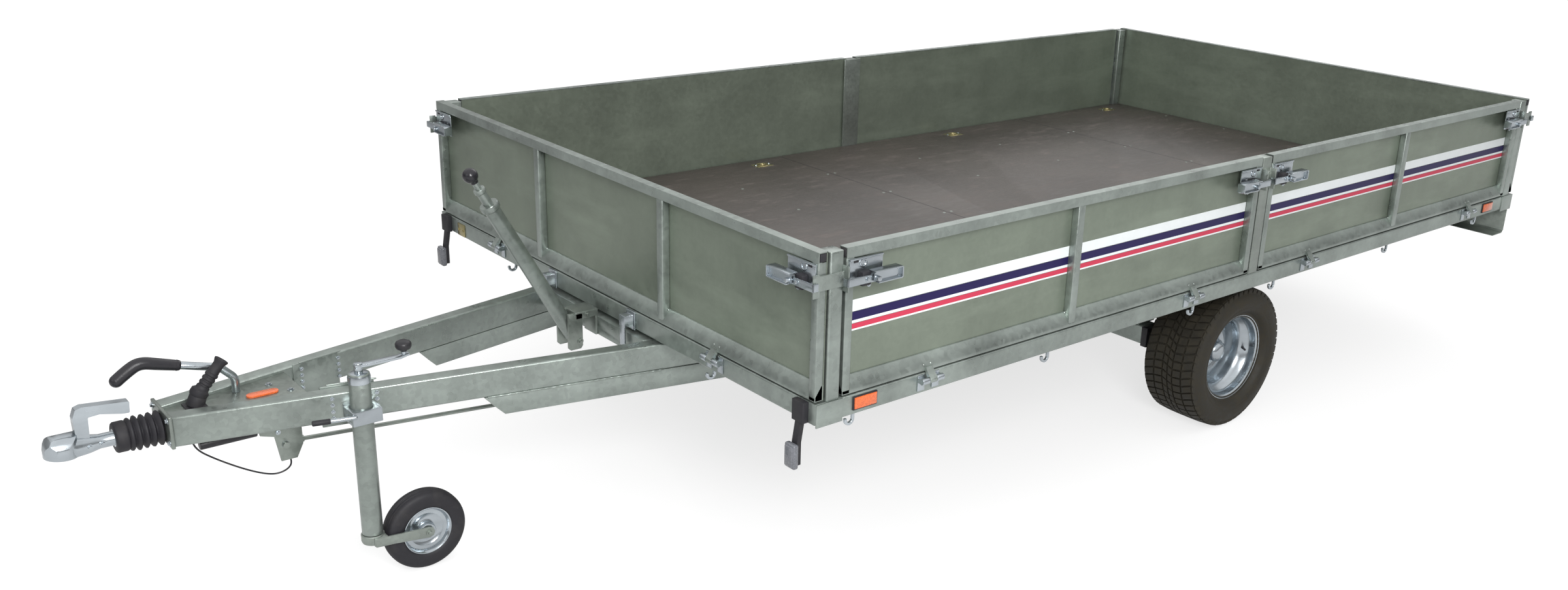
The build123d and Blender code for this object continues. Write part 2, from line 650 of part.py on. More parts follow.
def make_jack():
    """The jack's fork under its hood on the front crossmember, and the telescopic ram that leans in it."""
    face, low, hood_x, half = FRONT_CROSS_X, ARM_TOP - 50, JACK_X + 2, FORK_GAP / 2
    outline = [(face, low), (face, ARM_TOP), (face + 15, HOOD_TOP), (hood_x, HOOD_TOP),
               (JACK_X + 22, JACK_Z + 17), (JACK_X + 22, JACK_Z - 18), (JACK_X - 10, JACK_Z - 18)]
    left_ear, right_ear = both_sides(side_profile(outline, half, half + EAR_THICK))
    hood = block(face, hood_x, -half, half, HOOD_TOP - EAR_THICK, HOOD_TOP)
    back = block(face, face + EAR_THICK, -half, half, low, ARM_TOP)
    bolt_end = half + EAR_THICK + 4
    bolt = bar((JACK_X, -bolt_end, JACK_Z), (JACK_X, bolt_end, JACK_Z), JACK_BOLT_R)
    keep("jack_fork", left_ear + right_ear + hood + back + bolt)

    tube, ball = JACK_TUBE_LENGTH, JACK_LENGTH
    stage, rod = JACK_STAGE_R, JACK_ROD_R
    outline = [(0, 12), (JACK_R, 12), (JACK_R, tube - 8), (JACK_R + 4, tube - 4), (JACK_R + 4, tube + 8),
               (stage, tube + 8), (stage, tube + 44), (stage + 3, tube + 46), (stage + 3, tube + 54),
               (rod, tube + 56), (rod, ball - 8), (0, ball - 8)]
    ram = revolve(make_face(Polyline([(r, 0, z) for r, z in outline], close=True)), axis=Axis.Z)
    ram += Rot(90, 0, 0) * Cylinder(16, 30) + Pos(0, 0, ball) * Sphere(JACK_BALL_R)
    ram -= Rot(90, 0, 0) * Cylinder(JACK_BOLT_R + PIN_PLAY, 3 * JACK_R)
    keep("tipping_jack", Pos(JACK_X, 0, JACK_Z) * Rot(0, JACK_LEAN, 0) * ram)


def make_coupling():
    """Cast coupling head with its handle, bellows gaiter and the overrun housing between the arms."""
    end_plate = block(ARM_FRONT_X, END_PLATE_X, -66, 66, 408, 484)
    end_plate -= bar((ARM_FRONT_X - 1, 0, SHAFT_Z), (END_PLATE_X + 1, 0, SHAFT_Z), SHAFT_R + SHAFT_PLAY)
    keep("overrun_housing", between_arms(HOUSING_X, ARM_FRONT_X, HOUSING_LOW, HOUSING_TOP) + end_plate)
    head = coupling_head()
    keep("coupling_head", head)
    keep("coupling_handle", coupling_handle() - head)
    keep("gaiter", gaiter())


def coupling_head():
    """The cast head: a domed cup over the ball, tapering back to a round neck, and its shaft."""
    outline = [(NECK_X, -17), (NECK_X, 17), (CUP_X - 70, 19), (CUP_X - 48, 27), (CUP_X - 22, 32),
               (CUP_X, CUP_R), (CUP_X + 18, 29), (CUP_X + 29, 16), (NOSE_X + 1, 1), (NOSE_X + 1, -10),
               (CUP_X - 24, -15), (CUP_X - 66, -18)]
    side = side_profile([(x, SHAFT_Z + rise) for x, rise in outline], -2 * CUP_R, 2 * CUP_R)
    cup = Pos(CUP_X, 0, SHAFT_Z) * Cylinder(CUP_R, 3 * CUP_R)
    dome = bar((NECK_X, 0, SHAFT_Z), (NOSE_X + 1, 0, SHAFT_Z), CUP_R)
    dome += block(NECK_X, NOSE_X + 1, -CUP_R, CUP_R, SHAFT_Z - CUP_R, SHAFT_Z)
    cone_length = CUP_X - NECK_X - 38
    cone_x = CUP_X - 10 - cone_length / 2
    cone = Pos(cone_x, 0, SHAFT_Z) * Rot(0, 90, 0) * Cone(NECK_R, CUP_R - 4, cone_length)
    neck = bar((NECK_X, 0, SHAFT_Z), (CUP_X, 0, SHAFT_Z), NECK_R)
    head = side & (cup & dome) + cone + neck
    head += bar((ARM_FRONT_X, 0, SHAFT_Z), (NECK_X, 0, SHAFT_Z), SHAFT_R)
    ball_space = Pos(CUP_X, 0, BALL_Z) * Sphere(BALL_R)
    ball_space += Pos(CUP_X, 0, BALL_Z - BALL_R) * Cylinder(BALL_R, 2 * BALL_R)
    return head - ball_space


def coupling_handle():
    """The head's cast handle: a post on the neck and a bar with a finger grip, over the gaiter."""
    low, high, back = SHAFT_Z + 16, SHAFT_Z + HANDLE_HEIGHT, HANDLE_X - HANDLE_BAR_LENGTH
    outline = [(HANDLE_X - 26, low), (HANDLE_X, low), (HANDLE_X + 1, high - 22), (HANDLE_X - 6, high - 4),
               (HANDLE_X - 18, high), (back, high - 9), (back + 2, high - 35), (back + 16, high - 34),
               (back + 60, high - 24), (HANDLE_X - 28, high - 26)]
    handle = side_profile(outline, -HANDLE_BAR_HALF, HANDLE_BAR_HALF)
    return fillet(handle.edges().filter_by(Axis.Y), 3)


def gaiter():
    """The bellows round the shaft: pleats behind a plain cuff."""
    inner = SHAFT_R + SHAFT_PLAY
    outline = [(END_PLATE_X, inner), (END_PLATE_X, 31)]
    for number in range(PLEATS):
        start = END_PLATE_X + 3 + PLEAT_PITCH * number
        outline += [(start, PLEAT_HIGH), (start + PLEAT_PITCH / 2, PLEAT_LOW)]
    outline += [(NECK_X - CUFF_LENGTH, CUFF_R), (NECK_X - 4, CUFF_R), (NECK_X, CUFF_R - 4), (NECK_X, inner)]
    ring = make_face(Polyline([(x, 0, SHAFT_Z + r) for x, r in outline], close=True))
    return revolve(ring, axis=Axis((0, 0, SHAFT_Z), (1, 0, 0)))


def make_brake():
    """Handbrake lever with its grip, parked plug, gas strut, brake gear and breakaway cable."""
    def lever_point(along, rise):
        return (LEVER_X + along, LEVER_Y, HOUSING_TOP + rise)

    start = lever_point(116, 92)
    lever = bent_rod([lever_point(0, -6), lever_point(-1, 35), lever_point(29, 67), start], [24, 20], LEVER_R)
    lever -= block(LEVER_X - 35, LEVER_X + 35, LEVER_Y - 20, LEVER_Y + 20, HOUSING_TOP - 20, HOUSING_TOP)
    keep("handbrake_lever", lever)
    keep("handbrake_grip", bent_rod([start, lever_point(190, 113), lever_point(240, 84)], 36, GRIP_R) - lever)
    plug = bar((PLUG_X, 0, HOUSING_TOP), (PLUG_X - 12, 0, HOUSING_TOP + 30), 20)
    plug += bar((PLUG_X - 12, 0, HOUSING_TOP + 28), (PLUG_X - 66, 0, HOUSING_TOP + 93), 12)
    keep("parked_plug", plug - block(PLUG_X - 80, PLUG_X + 80, -60, 60, HOUSING_LOW, HOUSING_TOP))
    reflector_end = REFLECTOR_X + REFLECTOR_LENGTH
    keep("drawbar_reflector", block(REFLECTOR_X, reflector_end, 8, 28, HOUSING_TOP, HOUSING_TOP + 4))

    strut = bar((STRUT_FRONT_X, STRUT_Y, STRUT_Z), (STRUT_REAR_X, STRUT_Y, STRUT_Z), STRUT_R)
    strut += bar((STRUT_REAR_X + 1, STRUT_Y, STRUT_Z), (STRUT_PIN_X - 4, STRUT_Y, STRUT_Z), 5)
    strut += bar((STRUT_PIN_X, STRUT_Y - 8, STRUT_Z), (STRUT_PIN_X, BRAKE_Y, STRUT_Z), 7)
    strut += block(STRUT_FRONT_X - 16, STRUT_FRONT_X - 2, STRUT_Y - 7, STRUT_Y + 7, STRUT_Z, HOUSING_LOW)
    keep("brake_strut", strut)
    keep("brake_gear", brake_gear())
    make_cable()


def brake_gear():
    """Bell-crank plate under the left arm, its flange and pivot, and the rod back to the axle."""
    front = BRAKE_X + BRAKE_PLATE_LENGTH
    outline = [(front, ARM_BOTTOM), (front, ARM_BOTTOM - 26), (front - 31, ARM_BOTTOM - 36),
               (BRAKE_X + 52, BRAKE_PLATE_LOW), (BRAKE_X + 16, BRAKE_PLATE_LOW), (BRAKE_X, BRAKE_PIVOT_Z - 8),
               (BRAKE_X, ARM_BOTTOM)]
    gear = side_profile(outline, BRAKE_Y, BRAKE_Y + BRAKE_PLATE)
    gear += block(BRAKE_X, front, STRUT_Y, BRAKE_Y + BRAKE_PLATE, ARM_BOTTOM, HOUSING_LOW)
    pivot = Vector(BRAKE_PIVOT_X, ROD_Y, BRAKE_PIVOT_Z)
    gear += bar(pivot - (0, CLEVIS_R, 0), pivot + (0, CLEVIS_R + 18, 0), 8)
    rod_end = Vector(AXLE_TUBE_X + AXLE_TUBE / 2 + BRAKE_ROD_R * 0.1 + ROD_GAP, COMPENSATOR_Y,
                     AXLE_TUBE_Z - AXLE_TUBE / 2 - BRAKE_ROD_R - 3)
    gear += bar(pivot, rod_end, BRAKE_ROD_R)
    return gear + bar(pivot, pivot + (rod_end - pivot).normalized() * CLEVIS_LENGTH, CLEVIS_R)


def make_cable():
    """Breakaway cable, hanging in one slack loop from the housing to the bell-crank plate."""
    end_y = BRAKE_Y + BRAKE_PLATE / 2
    route = [(1044, 26, HOUSING_LOW - CABLE_GAP), (1043, 28, 397), (1032, 30, 375), (1008, 32, 354),
             (975, 34, 329), (938, 36, 304), (903, 39, 285), (876, 42, 277), (853, 46, 283),
             (841, end_y, 297), (843, end_y, BRAKE_PLATE_LOW - CABLE_GAP)]
    points = [Vector(*point) for point in route]
    radii = []
    for before, here, after in zip(points, points[1:], points[2:]):
        turn = math.radians((here - before).get_angle(after - here))
        shorter = min((here - before).length, (after - here).length)
        radii.append(0.45 * shorter / math.tan(turn / 2))
    print("cable bend radii", [round(radius) for radius in radii])
    keep("breakaway_cable", bent_rod(points, radii, CABLE_R))


def make_axle():
    """Rubber torsion axle: square tube, brackets under the rear rails, trailing arms and back plates."""
    half = AXLE_TUBE / 2
    low = AXLE_TUBE_Z - half
    tube = block(AXLE_TUBE_X - half, AXLE_TUBE_X + half, -AXLE_HALF, AXLE_HALF, low, AXLE_TUBE_Z + half)
    across = COMPENSATOR_WIDTH / 2
    compensator = block(AXLE_TUBE_X - half + TUBE_ROUND, AXLE_TUBE_X + half, COMPENSATOR_Y - across,
                        COMPENSATOR_Y + across, low - COMPENSATOR_DROP, low + TUBE_ROUND)
    keep("axle_tube", tube_edges(tube, Axis.Y) + compensator)
    plate = side_profile([(AXLE_TUBE_X + 110, RAIL_BOTTOM), (AXLE_TUBE_X + 45, AXLE_TUBE_Z + half),
                          (AXLE_TUBE_X - 45, AXLE_TUBE_Z + half), (AXLE_TUBE_X - 70, RAIL_BOTTOM)],
                         RAIL_Y - 20, RAIL_Y + 20)
    keep("axle_brackets", both_sides(plate))
    arm = side_profile([(AXLE_TUBE_X + 35, AXLE_TUBE_Z + half), (AXLE_X - 30, TYRE_R + 32),
                        (AXLE_X - 30, TYRE_R - 32), (AXLE_TUBE_X + 35, low - 4)], AXLE_HALF, ARM_PLATE_Y)
    arm += bar((AXLE_X, ARM_PLATE_Y, TYRE_R), (AXLE_X, WHEEL_Y - STUB_SHORT, TYRE_R), STUB_R)
    arm += bar((AXLE_X, ARM_PLATE_Y, TYRE_R), (AXLE_X, ARM_PLATE_Y + BACK_PLATE_THICK, TYRE_R), BACK_PLATE_R)
    keep("trailing_arms", both_sides(arm))


def wheel_section(y_points):
    """A face in the wheel's radial plane from (y, r) points, spun about the axle."""
    face = make_face(Polyline([(0, y, r) for y, r in y_points], close=True))
    return revolve(face, axis=Axis((0, 0, 0), (0, 1, 0)))


def make_wheels():
    """Wide low-profile tyres on deep-dished rims with their brake drums and wheel bolts."""
    half = TYRE_WIDTH / 2
    seat = RIM_R - 14
    outside = [(half - 22, seat), (half, RIM_R + 34), (half - 6, TYRE_R - 22), (half - 22, TYRE_R - 4),
               (half - 50, TYRE_R)]
    inside = [(half - 40, TYRE_R - 16), (half - 22, RIM_R + 40), (half - 34, seat)]
    one_side = inside + outside
    tyre = wheel_section(one_side + [(-y, r) for y, r in reversed(one_side)])
    barrel = seat - BEAD_GAP
    flange = [(RIM_HALF - 5, barrel), (RIM_HALF - 4, RIM_R), (RIM_HALF, RIM_R)]
    outer = [(-y, r) for y, r in reversed(flange)]
    outer += [(-44, barrel - 2), (-34, WELL_R), (16, WELL_R), (30, 116), (44, barrel - 2)] + flange
    inner = [(y - math.copysign(2, y) if abs(y) > 60 else y, r - 3.5) for y, r in reversed(outer)]
    rim = wheel_section(outer + inner)
    disc_y = -22
    bore = STUB_R + PIN_PLAY
    drum_bore = DRUM_R - DRUM_WALL
    disc = [(disc_y, WELL_R - 3), (disc_y + 5, WELL_R - 3), (disc_y + 12, 74), (disc_y + 6, 58), (disc_y + 6, 32)]
    hub = [(34, 30), (34, 10), (-8, 10), (-8, bore)]
    drum = [(-100, bore), (-100, drum_bore), (-DRUM_DEPTH, drum_bore), (-DRUM_DEPTH, DRUM_R), (disc_y, DRUM_R)]
    rim += wheel_section(disc + hub + drum + [(disc_y, WELL_R - 8)])
    for number in range(HUB_BOLTS):
        angle = math.tau * number / HUB_BOLTS
        x, z = HUB_BOLT_CIRCLE * math.cos(angle), HUB_BOLT_CIRCLE * math.sin(angle)
        rim += bar((x, disc_y, z), (x, disc_y + 20, z), 8)
    place = Pos(AXLE_X, WHEEL_Y, TYRE_R)
    keep("left_tyre", place * tyre)
    keep("left_rim", place * rim)
    keep("right_tyre", mirror(place * tyre, about=Plane.XZ))
    keep("right_rim", mirror(place * rim, about=Plane.XZ))


def make_jockey():
    """Jockey wheel: clamp on the left arm, tube with crank, swivelling fork and wheel."""
    face_y = arm_y(JOCKEY_X)
    bore_r = JOCKEY_TUBE_R + PIN_PLAY
    bore = bar((JOCKEY_X, JOCKEY_Y, CLAMP_Z0 - 1), (JOCKEY_X, JOCKEY_Y, CLAMP_Z1 + 1), bore_r)
    clamp = block(JOCKEY_X - 34, JOCKEY_X + 34, face_y + 8, JOCKEY_Y + 34, CLAMP_Z0, CLAMP_Z1)
    clamp += slanted(JOCKEY_X - 30, JOCKEY_X + 30, 0, -12, CLAMP_Z0, CLAMP_Z1)
    corner = Vector(JOCKEY_X + 30, JOCKEY_Y + 39, CLAMP_Z1 - 8)
    lever = bar(corner - (0, 13, 0), corner, CLAMP_LEVER_R) + Pos(*corner) * Sphere(CLAMP_LEVER_R)
    lever_end = corner + (CLAMP_LEVER_LENGTH, -CLAMP_LEVER_LENGTH * math.tan(math.radians(ARM_ANGLE)), 2)
    lever += bar(corner, lever_end, CLAMP_LEVER_R)
    keep("jockey_clamp", clamp - bore + lever)

    low, top = JOCKEY_TUBE_LOW, JOCKEY_TOP
    inner = JOCKEY_TUBE_R - JOCKEY_WALL
    tube = bar((JOCKEY_X, JOCKEY_Y, low), (JOCKEY_X, JOCKEY_Y, top), JOCKEY_TUBE_R)
    tube -= bar((JOCKEY_X, JOCKEY_Y, low - 1), (JOCKEY_X, JOCKEY_Y, 400), inner)
    keep("jockey_tube", tube)
    crank = bar((JOCKEY_X, JOCKEY_Y, top), (JOCKEY_X, JOCKEY_Y, top + 24), 10)
    crank += block(JOCKEY_X - 118, JOCKEY_X + 10, JOCKEY_Y - 10, JOCKEY_Y + 10, top + 14, top + 21)
    crank += bar((JOCKEY_X - 108, JOCKEY_Y, top + 16), (JOCKEY_X - 108, JOCKEY_Y, top + 52), 13)
    keep("jockey_crank", crank)

    wheel_x, fork_x = JOCKEY_X - JOCKEY_TRAIL, JOCKEY_X + 22
    fork = bar((JOCKEY_X, JOCKEY_Y, low - 20), (JOCKEY_X, JOCKEY_Y, low + 80), inner - PIN_PLAY)
    fork += block(JOCKEY_X - 19, fork_x, JOCKEY_Y - FORK_HALF, JOCKEY_Y + FORK_HALF, low - 26, low - 1)
    outline = [(wheel_x - 10, JOCKEY_R - 14), (wheel_x - 18, JOCKEY_R - 6), (wheel_x - 18, JOCKEY_R + 6),
               (wheel_x - 10, JOCKEY_R + 14), (fork_x, low - 1), (fork_x, JOCKEY_R - 14)]
    for y in (JOCKEY_Y - FORK_HALF, JOCKEY_Y + FORK_HALF - FORK_PLATE):
        fork += side_profile(outline, y, y + FORK_PLATE)
    reach = FORK_HALF + 5
    fork += bar((wheel_x, JOCKEY_Y - reach, JOCKEY_R), (wheel_x, JOCKEY_Y + reach, JOCKEY_R), JOCKEY_AXLE_R)
    keep("jockey_fork", fork)

    half, seat, bore_r = JOCKEY_WIDTH / 2, JOCKEY_RIM_R, JOCKEY_AXLE_R + PIN_PLAY
    place = Pos(wheel_x, JOCKEY_Y, JOCKEY_R)
    one_side = [(half - 4, seat), (half, 74), (half - 3, 90), (half - 14, JOCKEY_R)]
    tyre = wheel_section(one_side + [(-y, r) for y, r in reversed(one_side)])
    keep("jockey_tyre", place * tyre)
    one_side = [(half - 4, seat), (half - 4, 60), (4, 50), (4, 22), (half, 20), (half, bore_r)]
    disc = wheel_section(one_side + [(-y, r) for y, r in reversed(one_side)])
    keep("jockey_rim", place * disc)


make_boards()
make_bed()
make_bed_fittings()
make_chassis()
make_jack()
make_coupling()
make_brake()
make_axle()
make_wheels()
make_jockey()
for node_name, node_shape in NODES.items():
    export_step(node_shape, "parts/" + node_name + ".step")
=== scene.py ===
"""Looks of a high-bed tilting trailer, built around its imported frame."""

import json
import math

import bmesh
import bpy
from mathutils import Euler, Matrix, Vector


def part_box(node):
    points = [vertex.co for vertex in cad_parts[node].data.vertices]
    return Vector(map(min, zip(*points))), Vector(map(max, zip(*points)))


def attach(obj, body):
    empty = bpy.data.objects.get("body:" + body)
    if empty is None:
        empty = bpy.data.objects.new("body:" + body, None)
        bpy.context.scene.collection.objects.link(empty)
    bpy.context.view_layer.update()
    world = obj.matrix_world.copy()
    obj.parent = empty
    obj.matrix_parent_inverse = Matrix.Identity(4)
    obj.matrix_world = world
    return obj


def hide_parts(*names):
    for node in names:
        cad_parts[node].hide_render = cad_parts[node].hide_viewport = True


bl_info = {
    "name": "High-bed trailer looks",
    "version": (1, 0, 0),
    "blender": (4, 5, 0),
    "location": "View3D > Sidebar > Trailer",
    "description": "Adds tread, latches, stripes, fittings and finishes to the packed trailer",
    "category": "Object",
}

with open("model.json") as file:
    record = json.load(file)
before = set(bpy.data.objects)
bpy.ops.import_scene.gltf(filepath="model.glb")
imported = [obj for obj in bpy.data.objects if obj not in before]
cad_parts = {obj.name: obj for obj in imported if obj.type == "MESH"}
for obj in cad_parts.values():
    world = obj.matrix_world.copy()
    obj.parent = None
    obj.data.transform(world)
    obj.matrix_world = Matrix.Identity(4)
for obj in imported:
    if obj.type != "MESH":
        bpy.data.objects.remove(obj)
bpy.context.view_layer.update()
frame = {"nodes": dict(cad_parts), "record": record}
RECORD = frame["record"]
BODY_OF = {node: body for body, nodes in RECORD["behaviour"]["bodies"].items() for node in nodes}
SLOT_OF = {part["node"]: part["material_slot"] for part in RECORD["subparts"]}
MM = 0.001
LEFT, RIGHT = 1, -1
ALONG, ACROSS, UP = (1, 0, 0), (0, 1, 0), (0, 0, 1)

# From millimetres, with x forward from the bed's front face, to the frame's metres
ROW = Matrix.Translation((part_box("side_beams")[1].x, 0, 0)) @ Matrix.Scale(MM, 4)

# Drop boards, in millimetres
BOARD_TOP = 887
BOARD_LOW = 544
BOARD_OUT = 24
RAIL_LOW = 863
WALL = 2
LEDGE_TOP = 581
LEDGE_BEND = 553
END_STILE = 22
STILE_HALF = 12.5
HINGE_OUT = 39
HINGE_Z = 525
KNUCKLE_HALF = 11
KNUCKLE_R = 8
LATCH_Z = 821
HANDLE_START = 50
HANDLE_END = 132
HANDLE_HALF = 14
HOOK_Z = 817
CORNER_REACH = 14
MID_REACH = 12


def tone(red, green, blue):
    """Linear colour of three display levels from 0 to 255."""
    shares = [level / 255 for level in (red, green, blue)]
    return tuple(((s + 0.055) / 1.055) ** 2.4 if s > 0.04045 else s / 12.92 for s in shares)


def colour_property(name, description, levels):
    """A colour that a user may change, given in display levels."""
    return bpy.props.FloatVectorProperty(name=name, description=description, subtype="COLOR", size=3,
                                         min=0, max=1, default=tone(*levels))


def length_property(name, description, millimetres):
    """A length that a user may change, given in millimetres."""
    return bpy.props.FloatProperty(name=name, description=description, unit="LENGTH", precision=4,
                                   min=0, default=millimetres * MM)


class TrailerColours(bpy.types.PropertyGroup):
    """Colours of the trailer's finishes."""

    tube: colour_property("Tube zinc", "Dipped steel tube", (146, 154, 149))
    sheet: colour_property("Sheet zinc", "Galvanised board sheet", (126, 135, 122))
    plate: colour_property("Plate zinc", "Folded and laser-cut plate", (142, 149, 143))
    bright: colour_property("Bright zinc", "Plated fittings and rims", (176, 183, 188))
    rubber: colour_property("Rubber", "Gaiter, plug and lamp arms", (32, 31, 36))
    tyre: colour_property("Tyre", "Tyre rubber with road dust", (36, 33, 25))
    orange: colour_property("Orange", "Reflectors", (222, 104, 50))
    red: colour_property("Red", "Tail lamps", (170, 24, 26))
    lens: colour_property("Clear lens", "Marker lamps", (104, 106, 112))
    brass: colour_property("Yellow zinc", "Lashing rings", (170, 160, 120))
    floor: colour_property("Floor", "Film-faced plywood", (73, 67, 63))
    white: colour_property("White stripe", "Widest stripe", (240, 245, 246))
    navy: colour_property("Navy stripe", "Middle stripe", (30, 20, 76))
    crimson: colour_property("Red stripe", "Lowest stripe", (206, 62, 88))


class TrailerSizes(bpy.types.PropertyGroup):
    """Sizes of the pieces that the looks add."""

    spangle: length_property("Spangle", "Size of a zinc crystal", 11)
    tread_depth: length_property("Tread depth", "How far a tread block stands up", 6.5)
    tread_gap: length_property("Tread gap", "Half the groove between two blocks", 2.2)
    tread_blocks: bpy.props.IntProperty(name="Tread blocks", description="Blocks round the tyre", default=54,
                                        min=12, max=120)
    stripe_lift: length_property("Stripe lift", "How far a stripe stands off the sheet", 0.4)


class Nodes:
    """A node tree in the making."""

    def __init__(self, tree):
        self.tree = tree

    def add(self, kind, sockets=(), **settings):
        """A node with its settings, and its sockets either linked or given a value."""
        node = self.tree.nodes.new(kind)
        for key, value in settings.items():
            setattr(node, key, value)
        self.join(node, dict(sockets))
        return node

    def join(self, node, sockets):
        """Links a socket to an output, or gives it a value."""
        for key, value in sockets.items():
            if isinstance(value, bpy.types.NodeSocket):
                self.tree.links.new(value, node.inputs[key])
            else:
                node.inputs[key].default_value = value

    def ramp(self, value, *stops):
        """A grey ramp through (place, level) stops."""
        node = self.add("ShaderNodeValToRGB", {"Fac": value})
        marks = node.color_ramp.elements
        while len(marks) < len(stops):
            marks.new(1.0)
        for mark, (place, level) in zip(marks, stops):
            mark.position = place
            mark.color = (level, level, level, 1)
        return node.outputs["Color"]

    def mix(self, factor, one, other, mode="MIX"):
        """Two colours mixed by a factor."""
        node = self.add("ShaderNodeMix", data_type="RGBA", blend_type=mode)
        one, other = [c if isinstance(c, bpy.types.NodeSocket) else (*c, 1) for c in (one, other)]
        self.join(node, {0: factor, 6: one, 7: other})
        return node.outputs[2]


class Finish(Nodes):
    """A material in the making: its nodes, its shader and the object's own coordinates."""

    def __init__(self, name):
        self.material = bpy.data.materials.new(name)
        self.material.use_nodes = True
        super().__init__(self.material.node_tree)
        self.shader = self.tree.nodes["Principled BSDF"]
        self.place = self.add("ShaderNodeTexCoord").outputs["Object"]

    def noise(self, size, detail=3.0, stretch=(1, 1, 1), roughness=0.5):
        """Noise whose lumps are about the given size in metres."""
        place = self.add("ShaderNodeMapping", {"Vector": self.place, "Scale": stretch}).outputs["Vector"]
        node = self.add("ShaderNodeTexNoise", {"Vector": place, "Scale": 1 / size, "Detail": detail,
                                               "Roughness": roughness})
        return node.outputs["Fac"]

    def cells(self, per_metre, output="Distance"):
        """Cells, so many to the metre: the distance from their middles, or a random colour for each."""
        return self.add("ShaderNodeTexVoronoi", {"Vector": self.place, "Scale": per_metre}).outputs[output]

    def scaled(self, colour, value, low, high):
        """A colour made darker or lighter by a value from 0 to 1."""
        return self.mix(1.0, colour, self.ramp(value, (0.0, low), (1.0, high)), "MULTIPLY")

    def bump(self, height, depth, strength):
        """Bumps of the given depth in metres."""
        node = self.add("ShaderNodeBump", {"Height": height, "Distance": depth, "Strength": strength})
        self.join(self.shader, {"Normal": node.outputs["Normal"]})

    def shade(self, **sockets):
        """Sets the shader's sockets, named with underscores for spaces."""
        self.join(self.shader, {key.replace("_", " "): value for key, value in sockets.items()})
        return self.material


def zinc(name, colour, spangle, contrast, streaks, metal, rough, painted_reflection_clouds=0.12, dents=0.25):
    """Galvanised steel: crystals, rain streaks, white bloom and uneven gloss, with painted reflections: soft
    lighter and darker patches and bright smears.
    """
    f = Finish(name)
    crystals = f.add("ShaderNodeRGBToBW", {"Color": f.cells(1 / spangle, "Color")}).outputs["Val"]
    # Cloud noise: it paints blurred reflection patches into the colour, and also sets the uneven gloss and
    # where the bloom shows.
    gloss_and_reflection_cloud = f.noise(0.18, 5.0, roughness=0.6)
    runs = f.noise(0.07, 4.0, stretch=(1.0, 1.0, 0.12))
    body = f.scaled(colour, crystals, 1 - contrast, 1 + contrast)
    # Painted reflection: the cloud noise lightens and darkens the colour in soft patches.
    body = f.scaled(body, f.ramp(gloss_and_reflection_cloud, (0.32, 0.0), (0.68, 1.0)), 1 - painted_reflection_clouds, 1 + painted_reflection_clouds)
    body = f.scaled(body, runs, 1 - streaks, 1 + streaks)
    bloom = f.ramp(f.noise(0.05, 6.0), (0.60, 0.0), (0.78, 1.0))
    body = f.mix(f.scaled(bloom, gloss_and_reflection_cloud, 0.0, 0.25), body, [min(1.0, c * 1.25) for c in colour])
    # Painted reflection: stretched smears that lighten the colour up to 1.6 times.
    painted_reflection_smears = f.noise(0.16, 5.0, stretch=(0.4, 0.4, 1.5), roughness=0.6)
    body = f.mix(f.ramp(painted_reflection_smears, (0.50, 0.0), (0.78, 0.5)), body, [min(1.0, c * 1.6) for c in colour])
    f.bump(f.noise(0.03), 0.0006, dents)
    roughness = f.ramp(f.mix(0.5, crystals, gloss_and_reflection_cloud), (0.2, rough[0]), (0.8, rough[1]))
    return f.shade(Base_Color=body, Roughness=roughness, Metallic=metal)


def plain_paint(name, colour, rough, dusty):
    """Paint, plastic or rubber with a fine grain and dusty patches."""
    f = Finish(name)
    dust = f.noise(0.05, 5.0, roughness=0.65)
    body = f.mix(f.ramp(dust, (0.5, 0.0), (0.85, dusty)), colour, (0.23, 0.21, 0.18))
    body = f.scaled(body, f.noise(0.012), 0.85, 1.15)
    f.bump(f.noise(0.004), 0.0003, 0.6)
    return f.shade(Base_Color=body, Roughness=f.ramp(dust, (0.3, rough), (0.8, min(1.0, rough + 0.2))))


def lens(name, colour):
    """Moulded lens with its fine prisms."""
    f = Finish(name)
    prisms = f.cells(260.0)
    f.bump(prisms, 0.0006, 0.5)
    return f.shade(Base_Color=f.scaled(colour, prisms, 0.75, 1.25), Roughness=0.12, Coat_Weight=0.6)


def film_plywood(name, colour):
    """Brown film-faced plywood with its fine mesh, scuffs and dust."""
    f = Finish(name)
    scuffs = f.noise(0.03, 8.0, stretch=(0.35, 1.0, 1.0), roughness=0.7)
    patches = f.ramp(f.noise(0.45, 4.0), (0.35, 0.0), (0.65, 1.0))
    body = f.scaled(colour, patches, 0.78, 1.20)
    body = f.mix(f.ramp(scuffs, (0.54, 0.0), (0.80, 0.35)), body, tone(150, 136, 130))
    f.bump(f.cells(420.0), 0.0005, 0.4)
    return f.shade(Base_Color=body, Roughness=f.ramp(scuffs, (0.3, 0.38), (0.8, 0.62)))


def tyre_rubber(name, colour):
    """Tyre rubber, browned by road dust."""
    f = Finish(name)
    dust = f.noise(0.03, 7.0, roughness=0.7)
    body = f.mix(f.ramp(dust, (0.42, 0.0), (0.8, 0.35)), colour, tone(78, 70, 50))
    f.bump(f.noise(0.006, 5.0), 0.0005, 0.5)
    return f.shade(Base_Color=body, Roughness=f.ramp(dust, (0.3, 0.58), (0.8, 0.88)))


def film_stripe(name, colour):
    """Adhesive stripe: a slightly glossy film with faint dirt."""
    f = Finish(name)
    body = f.scaled(colour, f.noise(0.05, 6.0, roughness=0.7), 0.90, 1.06)
    return f.shade(Base_Color=body, Roughness=0.42, Specular_IOR_Level=0.3)


